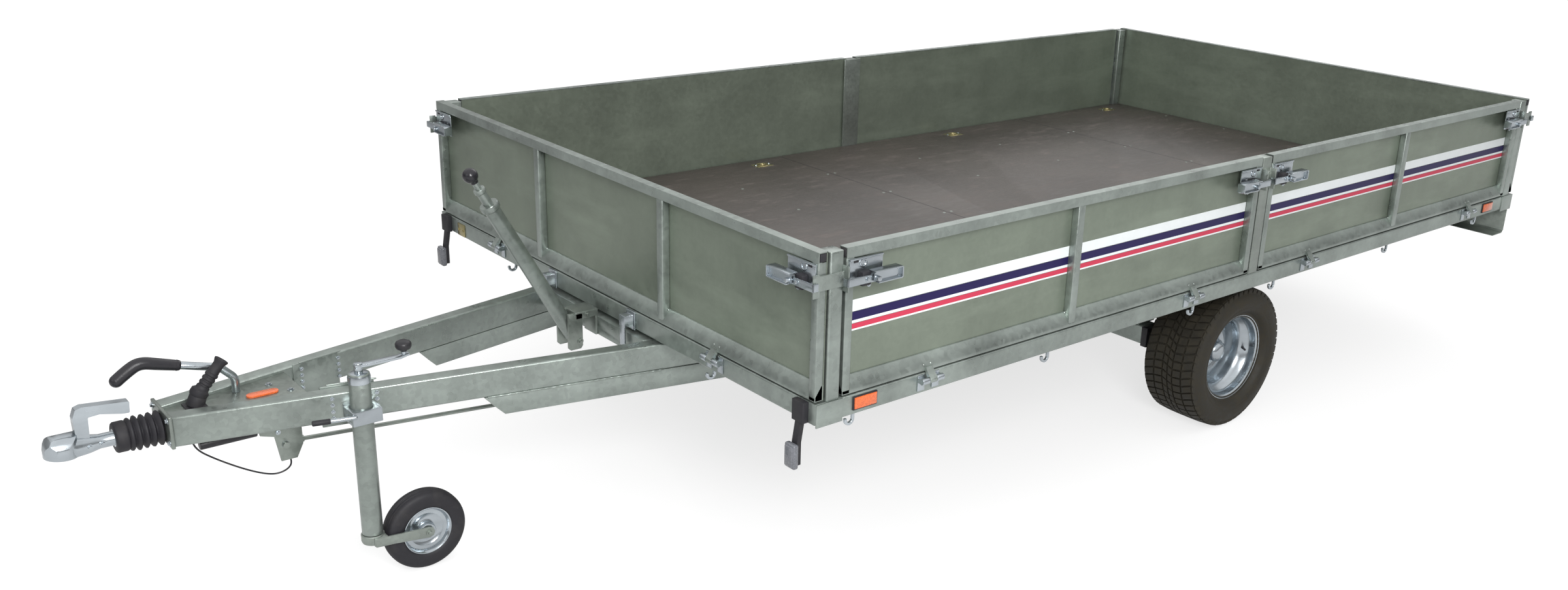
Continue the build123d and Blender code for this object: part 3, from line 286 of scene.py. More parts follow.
def make_finishes(colours, sizes):
    """Every finish by the record's slot, and the others by their own names."""
    crystal, rubber = sizes.spangle, colours.rubber
    return {
        "zinc_tube": zinc("dipped_tube", colours.tube, crystal, contrast=0.10, streaks=0.12, metal=0.75,
                          rough=(0.24, 0.46), painted_reflection_clouds=0.20),
        "zinc_sheet": zinc("spangled_sheet", colours.sheet, crystal, contrast=0.05, streaks=0.06, metal=0.50,
                           rough=(0.30, 0.46), painted_reflection_clouds=0.10),
        "zinc_plate": zinc("dipped_plate", colours.plate, crystal * 0.8, contrast=0.09, streaks=0.10,
                           metal=0.75, rough=(0.26, 0.46), painted_reflection_clouds=0.18),
        "bright_zinc": zinc("bright_plating", colours.bright, 0.03, contrast=0.03, streaks=0.03, metal=0.95,
                            rough=(0.18, 0.30), dents=0.08),
        "brass_plate": zinc("yellow_plating", colours.brass, 0.006, contrast=0.06, streaks=0.04, metal=0.9,
                            rough=(0.18, 0.32)),
        "black_rubber": plain_paint("matt_rubber", rubber, rough=0.55, dusty=0.12),
        "black_grip": plain_paint("smooth_grip", rubber, rough=0.30, dusty=0.05),
        "black_paint": plain_paint("black_enamel", rubber, rough=0.32, dusty=0.15),
        "black_gloss": plain_paint("black_gloss", rubber, rough=0.12, dusty=0.0),
        "orange_lens": lens("orange_lens_mould", colours.orange),
        "red_lens": lens("red_lens_mould", colours.red),
        "clear_lens": lens("clear_lens_mould", colours.lens),
        "plywood": film_plywood("film_plywood", colours.floor),
        "tyre": tyre_rubber("dusty_tyre", colours.tyre),
        "white": film_stripe("white_film", colours.white),
        "navy": film_stripe("navy_film", colours.navy),
        "crimson": film_stripe("crimson_film", colours.crimson),
    }


FINISHES = {}


def add_piece(name, parts, body, finish, *replaced, slot=None, place=ROW, smooth_angle=35):
    """One piece of several parts, moved to its place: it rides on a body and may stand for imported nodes."""
    bm = assemble(parts, place)
    bmesh.ops.remove_doubles(bm, verts=bm.verts, dist=1e-6)
    bmesh.ops.recalc_face_normals(bm, faces=bm.faces)
    for face in bm.faces:
        face.smooth = True
    mesh = bpy.data.meshes.new(name)
    bm.to_mesh(mesh)
    bm.free()
    mesh.set_sharp_from_angle(angle=math.radians(smooth_angle))
    piece = bpy.data.objects.new(name, mesh)
    bpy.context.scene.collection.objects.link(piece)
    piece.data.materials.append(FINISHES[finish])
    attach(piece, body)
    if replaced:
        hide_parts(*replaced)


def assemble(parts, place):
    """One bmesh of several closed parts, moved to their place."""
    whole = bmesh.new()
    for part in parts:
        bmesh.ops.recalc_face_normals(part, faces=part.faces)
        mesh = bpy.data.meshes.new("part")
        part.to_mesh(mesh)
        part.free()
        whole.from_mesh(mesh)
        bpy.data.meshes.remove(mesh)
    whole.transform(place)
    return whole


def moved(part, place):
    """A part moved by a matrix."""
    part.transform(place)
    return part


def row_box(node):
    """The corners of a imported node's box, in millimetres from the bed's front face."""
    return [ROW.inverted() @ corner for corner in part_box(node)]


def add_block(bm, low, high):
    """A box between two corners."""
    low, high = Vector(low), Vector(high)
    place = Matrix.Translation((low + high) / 2) @ Matrix.Diagonal((*(high - low), 1))
    bmesh.ops.create_cube(bm, size=1.0, matrix=place)


def rounded(bm, edges, width, steps=2):
    """Rounds the edges over a width."""
    bmesh.ops.bevel(bm, geom=list(edges), offset=width, offset_type="OFFSET", affect="EDGES", segments=steps,
                    profile=0.5, material=-1, clamp_overlap=True)


def block(low, high, edge, steps=2):
    """A box with rounded edges."""
    bm = bmesh.new()
    add_block(bm, low, high)
    rounded(bm, bm.edges, edge, steps)
    return bm


def rod(start, end, radius, end_radius=None, edge=0.0, segments=24):
    """A round bar or cone from one point to another, its end edges rounded."""
    bm = bmesh.new()
    start, end = Vector(start), Vector(end)
    turn = (end - start).to_track_quat("Z", "Y").to_matrix().to_4x4()
    bmesh.ops.create_cone(bm, cap_ends=True, segments=segments, radius1=radius,
                          radius2=radius if end_radius is None else end_radius,
                          depth=(end - start).length, matrix=Matrix.Translation((start + end) / 2) @ turn)
    if edge:
        rounded(bm, {e for f in bm.faces if len(f.verts) > 4 for e in f.edges}, edge)
    return bm


def bolt_head(place, direction, across, height):
    """A hexagonal bolt head and its washer, standing out along a direction."""
    place, direction = Vector(place), Vector(direction).normalized()
    head = rod(place, place + direction * height, across * 0.58, edge=0.6, segments=6)
    washer = rod(place - direction * 0.5, place + direction * 1.6, across * 0.95, segments=20)
    return [head, washer]


def ball(place, radius, segments):
    """A ball."""
    bm = bmesh.new()
    bmesh.ops.create_uvsphere(bm, u_segments=segments[0], v_segments=segments[1], radius=radius,
                              matrix=Matrix.Translation(place))
    return bm


def pressed(outline, start, end, edge=0.0, axes="xyz"):
    """A flat outline raised from start to end; axes names the outline's two axes and the raised one.

    A third number in a point rounds the edge that rises from it."""
    bm = bmesh.new()
    first, second, up = ("xyz".index(a) for a in axes)
    verts = []
    for a, b, *_ in outline:
        place = [0, 0, 0]
        place[first], place[second], place[up] = a, b, start
        verts.append(bm.verts.new(place))
    face = bm.faces.new(verts)
    raised = bmesh.ops.extrude_face_region(bm, geom=[face])["geom"]
    shift = [0, 0, 0]
    shift[up] = end - start
    bmesh.ops.translate(bm, verts=[v for v in raised if isinstance(v, bmesh.types.BMVert)], vec=shift)
    if edge:
        rounded(bm, bm.edges, edge)
    for vert, (_, _, *width) in zip(verts, outline):
        if width:
            rise = [e for e in vert.link_edges if abs(e.other_vert(vert).co[up] - end) < 1e-6]
            rounded(bm, rise, width[0])
    return bm


def lathe(outline, steps=48, axis=UP):
    """Spins (radius, height) points about an axis; a line that starts and ends on the axis closes there."""
    bm = bmesh.new()
    verts = [bm.verts.new((r, 0, h)) for r, h in outline]
    on_axis = outline[0][0] == 0 and outline[-1][0] == 0
    pairs = zip(verts, verts[1:] if on_axis else verts[1:] + verts[:1])
    edges = [bm.edges.new(pair) for pair in pairs]
    bmesh.ops.spin(bm, geom=verts + edges, cent=(0, 0, 0), axis=UP, angle=math.tau, steps=steps,
                   use_merge=True)
    bmesh.ops.remove_doubles(bm, verts=bm.verts, dist=1e-4)
    bm.transform(Vector(axis).to_track_quat("Z", "Y").to_matrix().to_4x4())
    bm.normal_update()
    return bm


def both_sides(half):
    """A lathe's outline from the (across, radius) points of one side."""
    return [(r, y) for y, r in half] + [(r, -y) for y, r in reversed(half)]


def smooth_line(name, points, radius, rounding, steps, sizes=None):
    """A curve object with a round thickness near its points; sizes scale its radius at each point."""
    line = bpy.data.curves.new(name, "CURVE")
    line.dimensions = "3D"
    line.bevel_depth = radius
    line.bevel_resolution = rounding
    line.resolution_u = steps
    spline = line.splines.new("NURBS")
    spline.points.add(len(points) - 1)
    for point, place, size in zip(spline.points, points, sizes or [1.0] * len(points)):
        point.co = (*place, 1)
        point.radius = size
    spline.order_u = 3
    spline.use_endpoint_u = True
    return bpy.data.objects.new(name, line)


def bent(points, radius, sizes):
    """A round bar with closed ends that runs smoothly near its points."""
    holder = smooth_line("line", points, radius, rounding=6, steps=10, sizes=sizes)
    holder.data.use_fill_caps = True
    mesh = bpy.data.meshes.new_from_object(holder)
    bm = bmesh.new()
    bm.from_mesh(mesh)
    bpy.data.objects.remove(holder)
    bpy.data.meshes.remove(mesh)
    return bm


def softened(node, width):
    """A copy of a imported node, its hard edges rounded solid by solid, that stands for the node."""
    bm = bmesh.new()
    bm.from_mesh(frame["nodes"][node].data)
    bmesh.ops.remove_doubles(bm, verts=bm.verts, dist=1e-6)
    bmesh.ops.dissolve_limit(bm, angle_limit=math.radians(1), verts=bm.verts, edges=bm.edges)
    left = set(bm.verts)
    solids = []
    while left:
        solid, waiting = set(), [left.pop()]
        while waiting:
            vert = waiting.pop()
            solid.add(vert)
            joined = {edge.other_vert(vert) for edge in vert.link_edges} & left
            left -= joined
            waiting += joined
        solids.append(solid)
    for solid in solids if width else ():
        hard = {e for v in solid for e in v.link_edges if len(e.link_faces) == 2
                and e.calc_face_angle() > math.radians(30)}
        rounded(bm, hard, width * MM)
    add_piece("rounded_" + node, [bm], BODY_OF[node], SLOT_OF[node], node, place=Matrix())


class TRAILER_OT_finishes(bpy.types.Operator):
    """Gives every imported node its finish"""

    bl_idname = "trailer.finishes"
    bl_label = "Finishes"

    def execute(self, context):
        FINISHES.update(make_finishes(context.scene.trailer_colours, context.scene.trailer_sizes))
        for node, slot in SLOT_OF.items():
            frame["nodes"][node].data.materials.clear()
            frame["nodes"][node].data.materials.append(FINISHES[slot])
        return {"FINISHED"}


class TRAILER_OT_cable(bpy.types.Operator):
    """The breakaway cable's slack loop"""

    bl_idname = "trailer.cable"
    bl_label = "Breakaway cable"

    ROUTE = ((1044, 26, 415.5), (1043, 28, 397), (1032, 30, 375), (1008, 32, 354), (975, 34, 329),
             (938, 36, 304), (903, 39, 285), (876, 42, 277), (853, 46, 283), (841, 49, 297), (843, 49, 309.5))
    RADIUS = 2.0

    def execute(self, context):
        points = [ROW @ Vector(place) for place in self.ROUTE]
        cable = smooth_line("breakaway_line", points, self.RADIUS * MM, rounding=4, steps=8)
        context.scene.collection.objects.link(cable)
        cable.data.materials.append(FINISHES["black_paint"])
        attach(cable, "chassis")
        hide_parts("breakaway_cable")
        return {"FINISHED"}


class TRAILER_OT_steelwork(bpy.types.Operator):
    """Packed steel and mouldings, with rolled, pressed and worn edges"""

    bl_idname = "trailer.steelwork"
    bl_label = "Rounded steelwork"

    EDGES = {
        # width of the rounded edges in millimetres, or 0 for none
        "drawbar_arms": 1.0, "lower_rails": 4.0, "chassis_crossmembers": 3.0, "tilt_frame": 3.0,
        "overrun_housing": 2.0, "coupling_head": 1.5, "coupling_handle": 0.0, "handbrake_lever": 0.8,
        "brake_strut": 0.8, "brake_gear": 1.0, "axle_tube": 0.8, "axle_brackets": 1.5, "trailing_arms": 2.0,
        "jockey_clamp": 1.5, "side_beams": 0.8, "end_beams": 0.0, "crossmembers": 3.0,
        "tilt_crossmember": 2.0, "corner_posts": 0.8, "mid_posts": 1.0, "floor_panel": 1.0,
        "board_hinge_halves": 0.8, "marker_lamp_arms": 2.0, "light_bar": 0.8, "rope_hooks": 1.2,
        "lashing_plates": 0.8, "bed_catches": 1.2, "jockey_tube": 1.5,
    }

    def execute(self, context):
        for node, width in self.EDGES.items():
            softened(node, width)
        return {"FINISHED"}


class TRAILER_OT_boards(bpy.types.Operator):
    """Six drop boards: folded rail and ledge, stiles, hinge leaves and over-centre latches"""

    bl_idname = "trailer.boards"
    bl_label = "Drop boards"

    RAIL = ((-0.3, 887.6, 1.2), (24, 887.6, 2.6), (24, 863, 2.2), (15, 863), (15, 865), (22, 865), (22, 885),
            (-0.3, 885))
    LEDGE = ((2, 544), (24, 544, 1.5), (24, 553, 2.5), (7, 578, 2.0), (4, 581), (2, 581))
    LEAF = ((24, 554), (28, 554, 1.0), (29, 550, 1.0), (45, 530), (39, 525), (33, 530), (24, 545))
    LATCH_RING = ((6, 0), (11, 0), (11, 1.6), (9.5, 2.4), (7, 2.4), (6, 1.6))
    BOARDS = (
        # name, stiles as fractions, hinge inset, latch reach at its first and last end
        ("front", (1 / 3, 2 / 3), 375, (MID_REACH, MID_REACH)),
        ("rear", (1 / 3, 2 / 3), 375, (MID_REACH, MID_REACH)),
        ("left_front", (0.5,), 264, (MID_REACH, CORNER_REACH)),
        ("left_rear", (0.5,), 264, (CORNER_REACH, MID_REACH)),
        ("right_front", (0.5,), 264, (MID_REACH, CORNER_REACH)),
        ("right_rear", (0.5,), 264, (CORNER_REACH, MID_REACH)),
    )

    def execute(self, context):
        for row in self.BOARDS:
            self.board(*row)
        return {"FINISHED"}

    def board(self, name, stiles, hinge, reaches):
        """One board's frame, and at each of its ends a latch, and a plug with dark blocks of painted shade.
        """
        place, length = self.place(name)
        body = name + "_board"
        add_piece(body + "_welded_frame", self.frame(length, stiles, hinge), body, "zinc_tube",
                  body + "_frame", place=place, smooth_angle=50)
        bright, dark = [], []
        for end, way, reach in ((0, 1, reaches[0]), (length, -1, reaches[1])):
            flip = Matrix.Translation((end, 0, 0)) @ Matrix.Diagonal((way, 1, 1, 1))
            shiny, black = self.latch(reach)
            bright += [moved(part, flip) for part in shiny]
            dark += [moved(part, flip) for part in black]
        add_piece(body + "_latches", bright, body, "bright_zinc", place=place)
        # The black plugs, together with the latches' dark blocks of painted shade.
        add_piece(body + "_end_plugs_and_painted_shade", dark, body, "black_rubber", place=place)

    def place(self, name):
        """The matrix from a board's own frame (along, out and up, in millimetres), and its length."""
        low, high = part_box(name + "_board_sheet")
        if name in ("front", "rear"):
            out = Vector((1 if name == "front" else -1, 0, 0))
            along, length = Vector(ACROSS), high.y - low.y
            corner = Vector((low.x if name == "front" else high.x, low.y, 0))
        else:
            side = LEFT if name.startswith("left") else RIGHT
            out = Vector((0, side, 0))
            along, length = Vector(ALONG), high.x - low.x
            corner = Vector((low.x, low.y if side == LEFT else high.y, 0))
        turn = Matrix((along, out, UP)).transposed().to_4x4()
        return Matrix.Translation(corner) @ turn @ Matrix.Scale(MM, 4), length / MM

    def frame(self, length, stiles, hinge):
        """Rail, ledge, stiles, hinge leaves and welds of one board."""
        parts = [pressed(section, 0, length, axes="yzx") for section in (self.RAIL, self.LEDGE)]
        for u in (0, length - END_STILE):
            parts.append(block((u, WALL, BOARD_LOW + 0.2), (u + END_STILE, BOARD_OUT, RAIL_LOW + 1), 1.6))
        for fraction in stiles:
            u = length * fraction
            parts.append(block((u - STILE_HALF, WALL, BOARD_LOW + 4),
                               (u + STILE_HALF, BOARD_OUT - 0.4, RAIL_LOW + 1), 2.2))
            parts += self.weld(u, LEDGE_TOP - 4, STILE_HALF)
        for u in (hinge, length - hinge):
            parts.append(pressed(self.LEAF, u - KNUCKLE_HALF, u + KNUCKLE_HALF, axes="yzx"))
            parts.append(rod((u - KNUCKLE_HALF, HINGE_OUT, HINGE_Z), (u + KNUCKLE_HALF, HINGE_OUT, HINGE_Z),
                             KNUCKLE_R, edge=0.8))
            parts += self.weld(u, BOARD_LOW + 12, KNUCKLE_HALF)
        return parts

    def weld(self, u, z, half):
        """Two weld bumps, one each side of a place on the ledge's slope."""
        out = BOARD_OUT - 3 - (z - LEDGE_BEND) * 0.6
        bumps = []
        for side in (-1, 1):
            bump = bmesh.new()
            shape = Matrix.Translation((u + side * half, out, z)) @ Matrix.Diagonal((4, 3, 5, 1))
            bmesh.ops.create_icosphere(bump, subdivisions=2, radius=1.0, matrix=shape)
            bumps.append(bump)
        return bumps

    def latch(self, reach):
        """An over-centre latch at a board's first end: bright parts, and dark parts: the black plug in the
        rail's end, and dark blocks that paint shade under the latch's top lip and at its pivot.
        """
        out, start, end, half = BOARD_OUT, HANDLE_START, HANDLE_END, HANDLE_HALF
        inner = half - 3
        channel = ((start + 10, -half), (end - 3, -half), (end, -inner), (end, inner), (end - 3, half),
                   (start, half), (start, inner), (end - 3, inner), (end - 3, -inner), (start + 10, -inner))
        web = ((start + 4, -inner), (end - 3, -inner), (end - 3, inner), (start + 4, inner))
        bright = [block((5, out, LATCH_Z - 24), (101, out + 4, RAIL_LOW - 2), 1.4),
                  block((5, out, RAIL_LOW - 6), (101, out + 7, RAIL_LOW - 1.5), 1.4)]
        for outline, low, high, edge in ((channel, 16, 40, 0.5), (web, 29, 32, 0.0)):
            raised = [(x, LATCH_Z + z) for x, z in outline]
            bright.append(pressed(raised, out + low, out + high, edge=edge, axes="xzy"))
        for z in (LATCH_Z + 8, LATCH_Z - 8):
            bright += bolt_head((end - 10, out + 32, z), ACROSS, 4, 2)[:1]
        for inside, low in ((start + 22, 23), (-reach, 11)):
            bright.append(block((-reach - 4, out + low, HOOK_Z - 9), (inside, out + 27, HOOK_Z + 9), 1.2))
        bright.append(rod((start + 12, out + 3, HOOK_Z), (start + 12, out + 41, HOOK_Z), 6, edge=1))
        bright += bolt_head((40, out + 26, HOOK_Z), ACROSS, 8, 5)
        bright += bolt_head((62, out + 4, LATCH_Z - 26), ACROSS, 6, 4)
        ring = lathe(self.LATCH_RING, 24, ACROSS)
        bright.append(moved(ring, Matrix.Translation((44, out + 3.8, LATCH_Z + 27))))
        # The first block is the black plug in the rail's end. The thin dark strip under the top lip is
        # painted shade. The pivot block is a real part, made dark for the shade on it.
        dark = [block((-1.5, 3, RAIL_LOW + 3), (4, out - 3, BOARD_TOP - 3), 1.0),
                block((16, out + 3.6, RAIL_LOW - 12), (30, out + 4.4, RAIL_LOW - 6.5), 0.3),
                block((28, out + 4, LATCH_Z - 21), (54, out + 22, LATCH_Z + 12), 3.0)]
        return bright, dark


class TRAILER_OT_wheels(bpy.types.Operator):
    """Road tyres with tread blocks, deep-dished rims and the jockey wheel"""

    bl_idname = "trailer.wheels"
    bl_label = "Wheels"

    # Sections as (across, radius) points, in millimetres
    RIB_EDGES = (18, 50, 87)
    SHOULDER = ((92.5, 205), (96, 199), (98.8, 189), (100, 178), (99.6, 169), (98.0, 165.5), (98.8, 162),
                (96.5, 156), (91, 150), (85, 146), (80.5, 142.5), (79.6, 136), (76.5, 129.2))
    HOLLOW = ((66, 129.2), (75, 155), (68, 196), (45, 209))
    BARREL = ((78, 140.5), (79.6, 138), (79, 134), (76, 129.5), (72, 125.6), (60, 124.4), (55, 125.2),
              (50, 123.6), (45, 120.5), (36, 111), (29, 104), (21, 101.3), (-34, 101.3), (-44, 119),
              (-60, 124), (-72, 125.5), (-76, 129.5), (-79, 134), (-79.6, 138), (-78, 140.5), (-75, 140.5),
              (-73, 134), (-71, 128.6), (-60, 127), (-46, 124), (-35, 104.3), (22, 104.3), (31, 107),
              (39, 115), (48, 125.4), (60, 127.3), (71, 128.6), (73, 134), (75, 140.5))
    DISC = ((-20, 101.5), (-15, 95), (-8, 81), (-6.5, 76), (-8, 70), (-12, 62), (-14, 56), (-14, 34),
            (-20, 34), (-20, 56), (-14, 76), (-24, 101.5))
    DRUM = ((-20, 88), (-22, 90), (-112, 90), (-114, 92), (-119, 92), (-120, 90), (-120, 84), (-100, 84),
            (-100, 18.4), (-26, 18.4))
    HUB = ((-16, 0), (-16, 34), (22, 32.5), (26, 31), (29, 27), (30.5, 25.5), (32, 24), (34.5, 18),
           (35.6, 10), (36, 0))
    JOCKEY_TYRE = ((1.5, 99.8), (2.5, 98.6), (3.5, 99.8), (10, 99.4), (11, 98.2), (12, 99), (17, 97.6),
                   (21, 95), (23.6, 90.5), (24.8, 84), (25, 74), (24, 67), (22.5, 62), (20, 60))
    JOCKEY_DISC = ((20, 60.3), (22.5, 60), (22.8, 58), (21, 56), (13, 52), (11, 46), (12, 42), (8, 36),
                   (7, 26), (9, 22), (24, 19), (25, 18), (25, 8.6))
    BOLTS = 5
    BOLT_CIRCLE = 45
    TREAD_TWIST = math.radians(2.6)
    # The jockey leg's middle, the ends of its tube and the axle of its wheel, trailing behind it
    LEG_X, LEG_Y, LEG_TOP, LEG_LOW = 713, 168, 533, 128
    AXLE_X, AXLE_Z = 588, 100
    # Turned pieces of the leg as (radius, height) points over its upper or lower end
    LEG_CAP = ((0, 9), (7, 9), (9, 7), (9, 1), (19, 0.6), (24, -3), (25.6, -8), (25.6, -22), (24, -23),
               (0, -23))
    KNOB = ((0, 54), (10, 54), (16, 51), (18.5, 47), (18.5, 40), (16, 35), (10, 32), (7, 28), (0, 28))
    CUP = ((0, -26), (20, -26), (25, -23), (27, -18), (27, -3), (25, -1), (0, -1))

    def execute(self, context):
        sizes = context.scene.trailer_sizes
        low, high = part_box("left_tyre")
        middle, half = (low + high) / 2, (high - low) / 2 / MM
        for side, name in ((LEFT, "left"), (RIGHT, "right")):
            place = Matrix.Translation((middle.x, side * middle.y, middle.z))
            place = place @ Matrix.Diagonal((MM, side * MM, MM, 1))
            body = name + "_wheel"
            add_piece(name + "_tread_tyre", [self.tyre(sizes, half)], body, "tyre", name + "_tyre",
                      place=place, smooth_angle=42)
            add_piece(name + "_dished_rim", self.rim(), body, "bright_zinc", name + "_rim", place=place,
                      smooth_angle=38)
            add_piece(name + "_valve", self.valve(), body, "black_rubber", place=place)
        self.jockey_ring("jockey_rubber_tyre", self.JOCKEY_TYRE, "black_rubber", "jockey_tyre", 50)
        self.crank()
        self.fork()
        self.jockey_ring("jockey_disc", self.JOCKEY_DISC, "bright_zinc", "jockey_rim", 35)
        return {"FINISHED"}

    def tyre(self, sizes, half):
        """A tyre round the y axis: its section is spun, then each tread face is inset and raised."""
        depth = sizes.tread_depth / MM
        base = half.z - depth
        tread_low = base - 12
        tread = [(y, base - 6.0 * (y / half.y) ** 4) for y in self.RIB_EDGES]
        outline = [(base, 0)] + both_sides([*tread, *self.SHOULDER, *self.HOLLOW])
        bm = lathe(outline, sizes.tread_blocks, ACROSS)
        for vert in bm.verts:
            if math.hypot(vert.co.x, vert.co.z) > tread_low:
                twist = self.TREAD_TWIST * math.sin(math.tau * vert.co.y / (1.15 * half.y))
                vert.co = Matrix.Rotation(twist, 3, "Y") @ vert.co
        bmesh.ops.recalc_face_normals(bm, faces=bm.faces)
        bm.normal_update()
        blocks = []
        for face in bm.faces:
            middle = face.calc_center_median()
            outward = face.normal.dot(Vector((middle.x, 0, middle.z))) > 0
            if outward and math.hypot(middle.x, middle.z) > tread_low:
                blocks.append(face)
        if len(blocks) < sizes.tread_blocks * 2 * len(self.RIB_EDGES):
            raise RuntimeError("the tyre has no tread")
        bmesh.ops.inset_individual(bm, faces=blocks, thickness=sizes.tread_gap / MM, use_even_offset=True)
        for face in bmesh.ops.extrude_discrete_faces(bm, faces=blocks)["faces"]:
            middle = face.calc_center_median()
            for vert in face.verts:
                vert.co += Vector((vert.co.x, 0, vert.co.z)).normalized() * (depth - 0.3)
                vert.co += (middle - vert.co) * 0.05
        return bm

    def rim(self):
        """Barrel, disc, brake drum, hub and wheel bolts round the y axis."""
        parts = [lathe([(r, y) for y, r in section], steps, ACROSS) for section, steps in
                 ((self.BARREL, 96), (self.DISC, 96), (self.DRUM, 96), (self.HUB, 64))]
        for number in range(self.BOLTS):
            angle = math.tau * (number + 0.25) / self.BOLTS
            x, z = self.BOLT_CIRCLE * math.cos(angle), self.BOLT_CIRCLE * math.sin(angle)
            parts.append(rod((x, -16, z), (x, -9, z), 11, 9, edge=0.8))
            parts.append(rod((x, -10, z), (x, 2, z), 8.2, 7.4, edge=1.0, segments=6))
        return parts

    def valve(self):
        """The tyre valve on the rim's slope, with its cap."""
        neck = (-104, 46, -5.5)
        return [rod((-114, 33, -6), neck, 5, 3.6, edge=0.5), rod(neck, (-96, 57, -5), 3.2, edge=0.6)]

    def jockey_ring(self, name, section, finish, node, smooth_angle):
        """The jockey wheel's grooved tyre, or its pressed disc."""
        low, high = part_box("jockey_tyre")
        place = Matrix.Translation((low + high) / 2) @ Matrix.Scale(MM, 4)
        add_piece(name, [lathe(both_sides(section), 64, ACROSS)], "jockey_wheel", finish, node, place=place,
                  smooth_angle=smooth_angle)

    def crank(self):
        """The jockey leg's cap, its crank and the crank's knob."""
        x, y, top = self.LEG_X, self.LEG_Y, self.LEG_TOP
        arm = ((x + 9, top + 13), (x + 9, top + 20), (x - 96, top + 20), (x - 118, top + 24),
               (x - 119, top + 18), (x - 97, top + 13))
        parts = [moved(lathe(self.LEG_CAP), Matrix.Translation((x, y, top))),
                 rod((x, y, top), (x, y, top + 24), 10, edge=2),
                 pressed(arm, y - 9, y + 9, edge=1.5, axes="xzy"),
                 rod((x - 108, y, top + 16), (x - 108, y, top + 34), 6)]
        add_piece("crank_and_cap", parts, "jockey_leg", "bright_zinc", "jockey_crank")
        knob = moved(lathe(self.KNOB, 32), Matrix.Translation((x - 108, y, top)))
        add_piece("crank_knob", [knob], "jockey_leg", "black_grip")

    def fork(self):
        """The jockey wheel's fork under the leg: a cup, a bridge, two cheeks and the axle."""
        x, y, axle_x, axle_z = self.LEG_X, self.LEG_Y, self.AXLE_X, self.AXLE_Z
        cheek = ((x + 6, 124), (x - 40, 121), (axle_x, axle_z + 14), (axle_x - 10, axle_z + 10),
                 (axle_x - 14, axle_z), (axle_x - 10, axle_z - 10), (axle_x, axle_z - 14), (x - 40, 98),
                 (x + 6, 102))
        parts = [moved(lathe(self.CUP), Matrix.Translation((x, y, self.LEG_LOW))),
                 block((x - 24, y - 31, 103), (x + 8, y + 31, 125), 2.0),
                 rod((axle_x, y - 31, axle_z), (axle_x, y + 31, axle_z), 8)]
        for side, inside in ((-1, -32), (1, 27)):
            parts.append(pressed(cheek, y + inside, y + inside + 5, edge=0.8, axes="xzy"))
            parts += bolt_head((axle_x, y + side * 32, axle_z), (0, side, 0), 9, 6)
        add_piece("jockey_wheel_fork", parts, "jockey_caster", "zinc_plate", "jockey_fork")


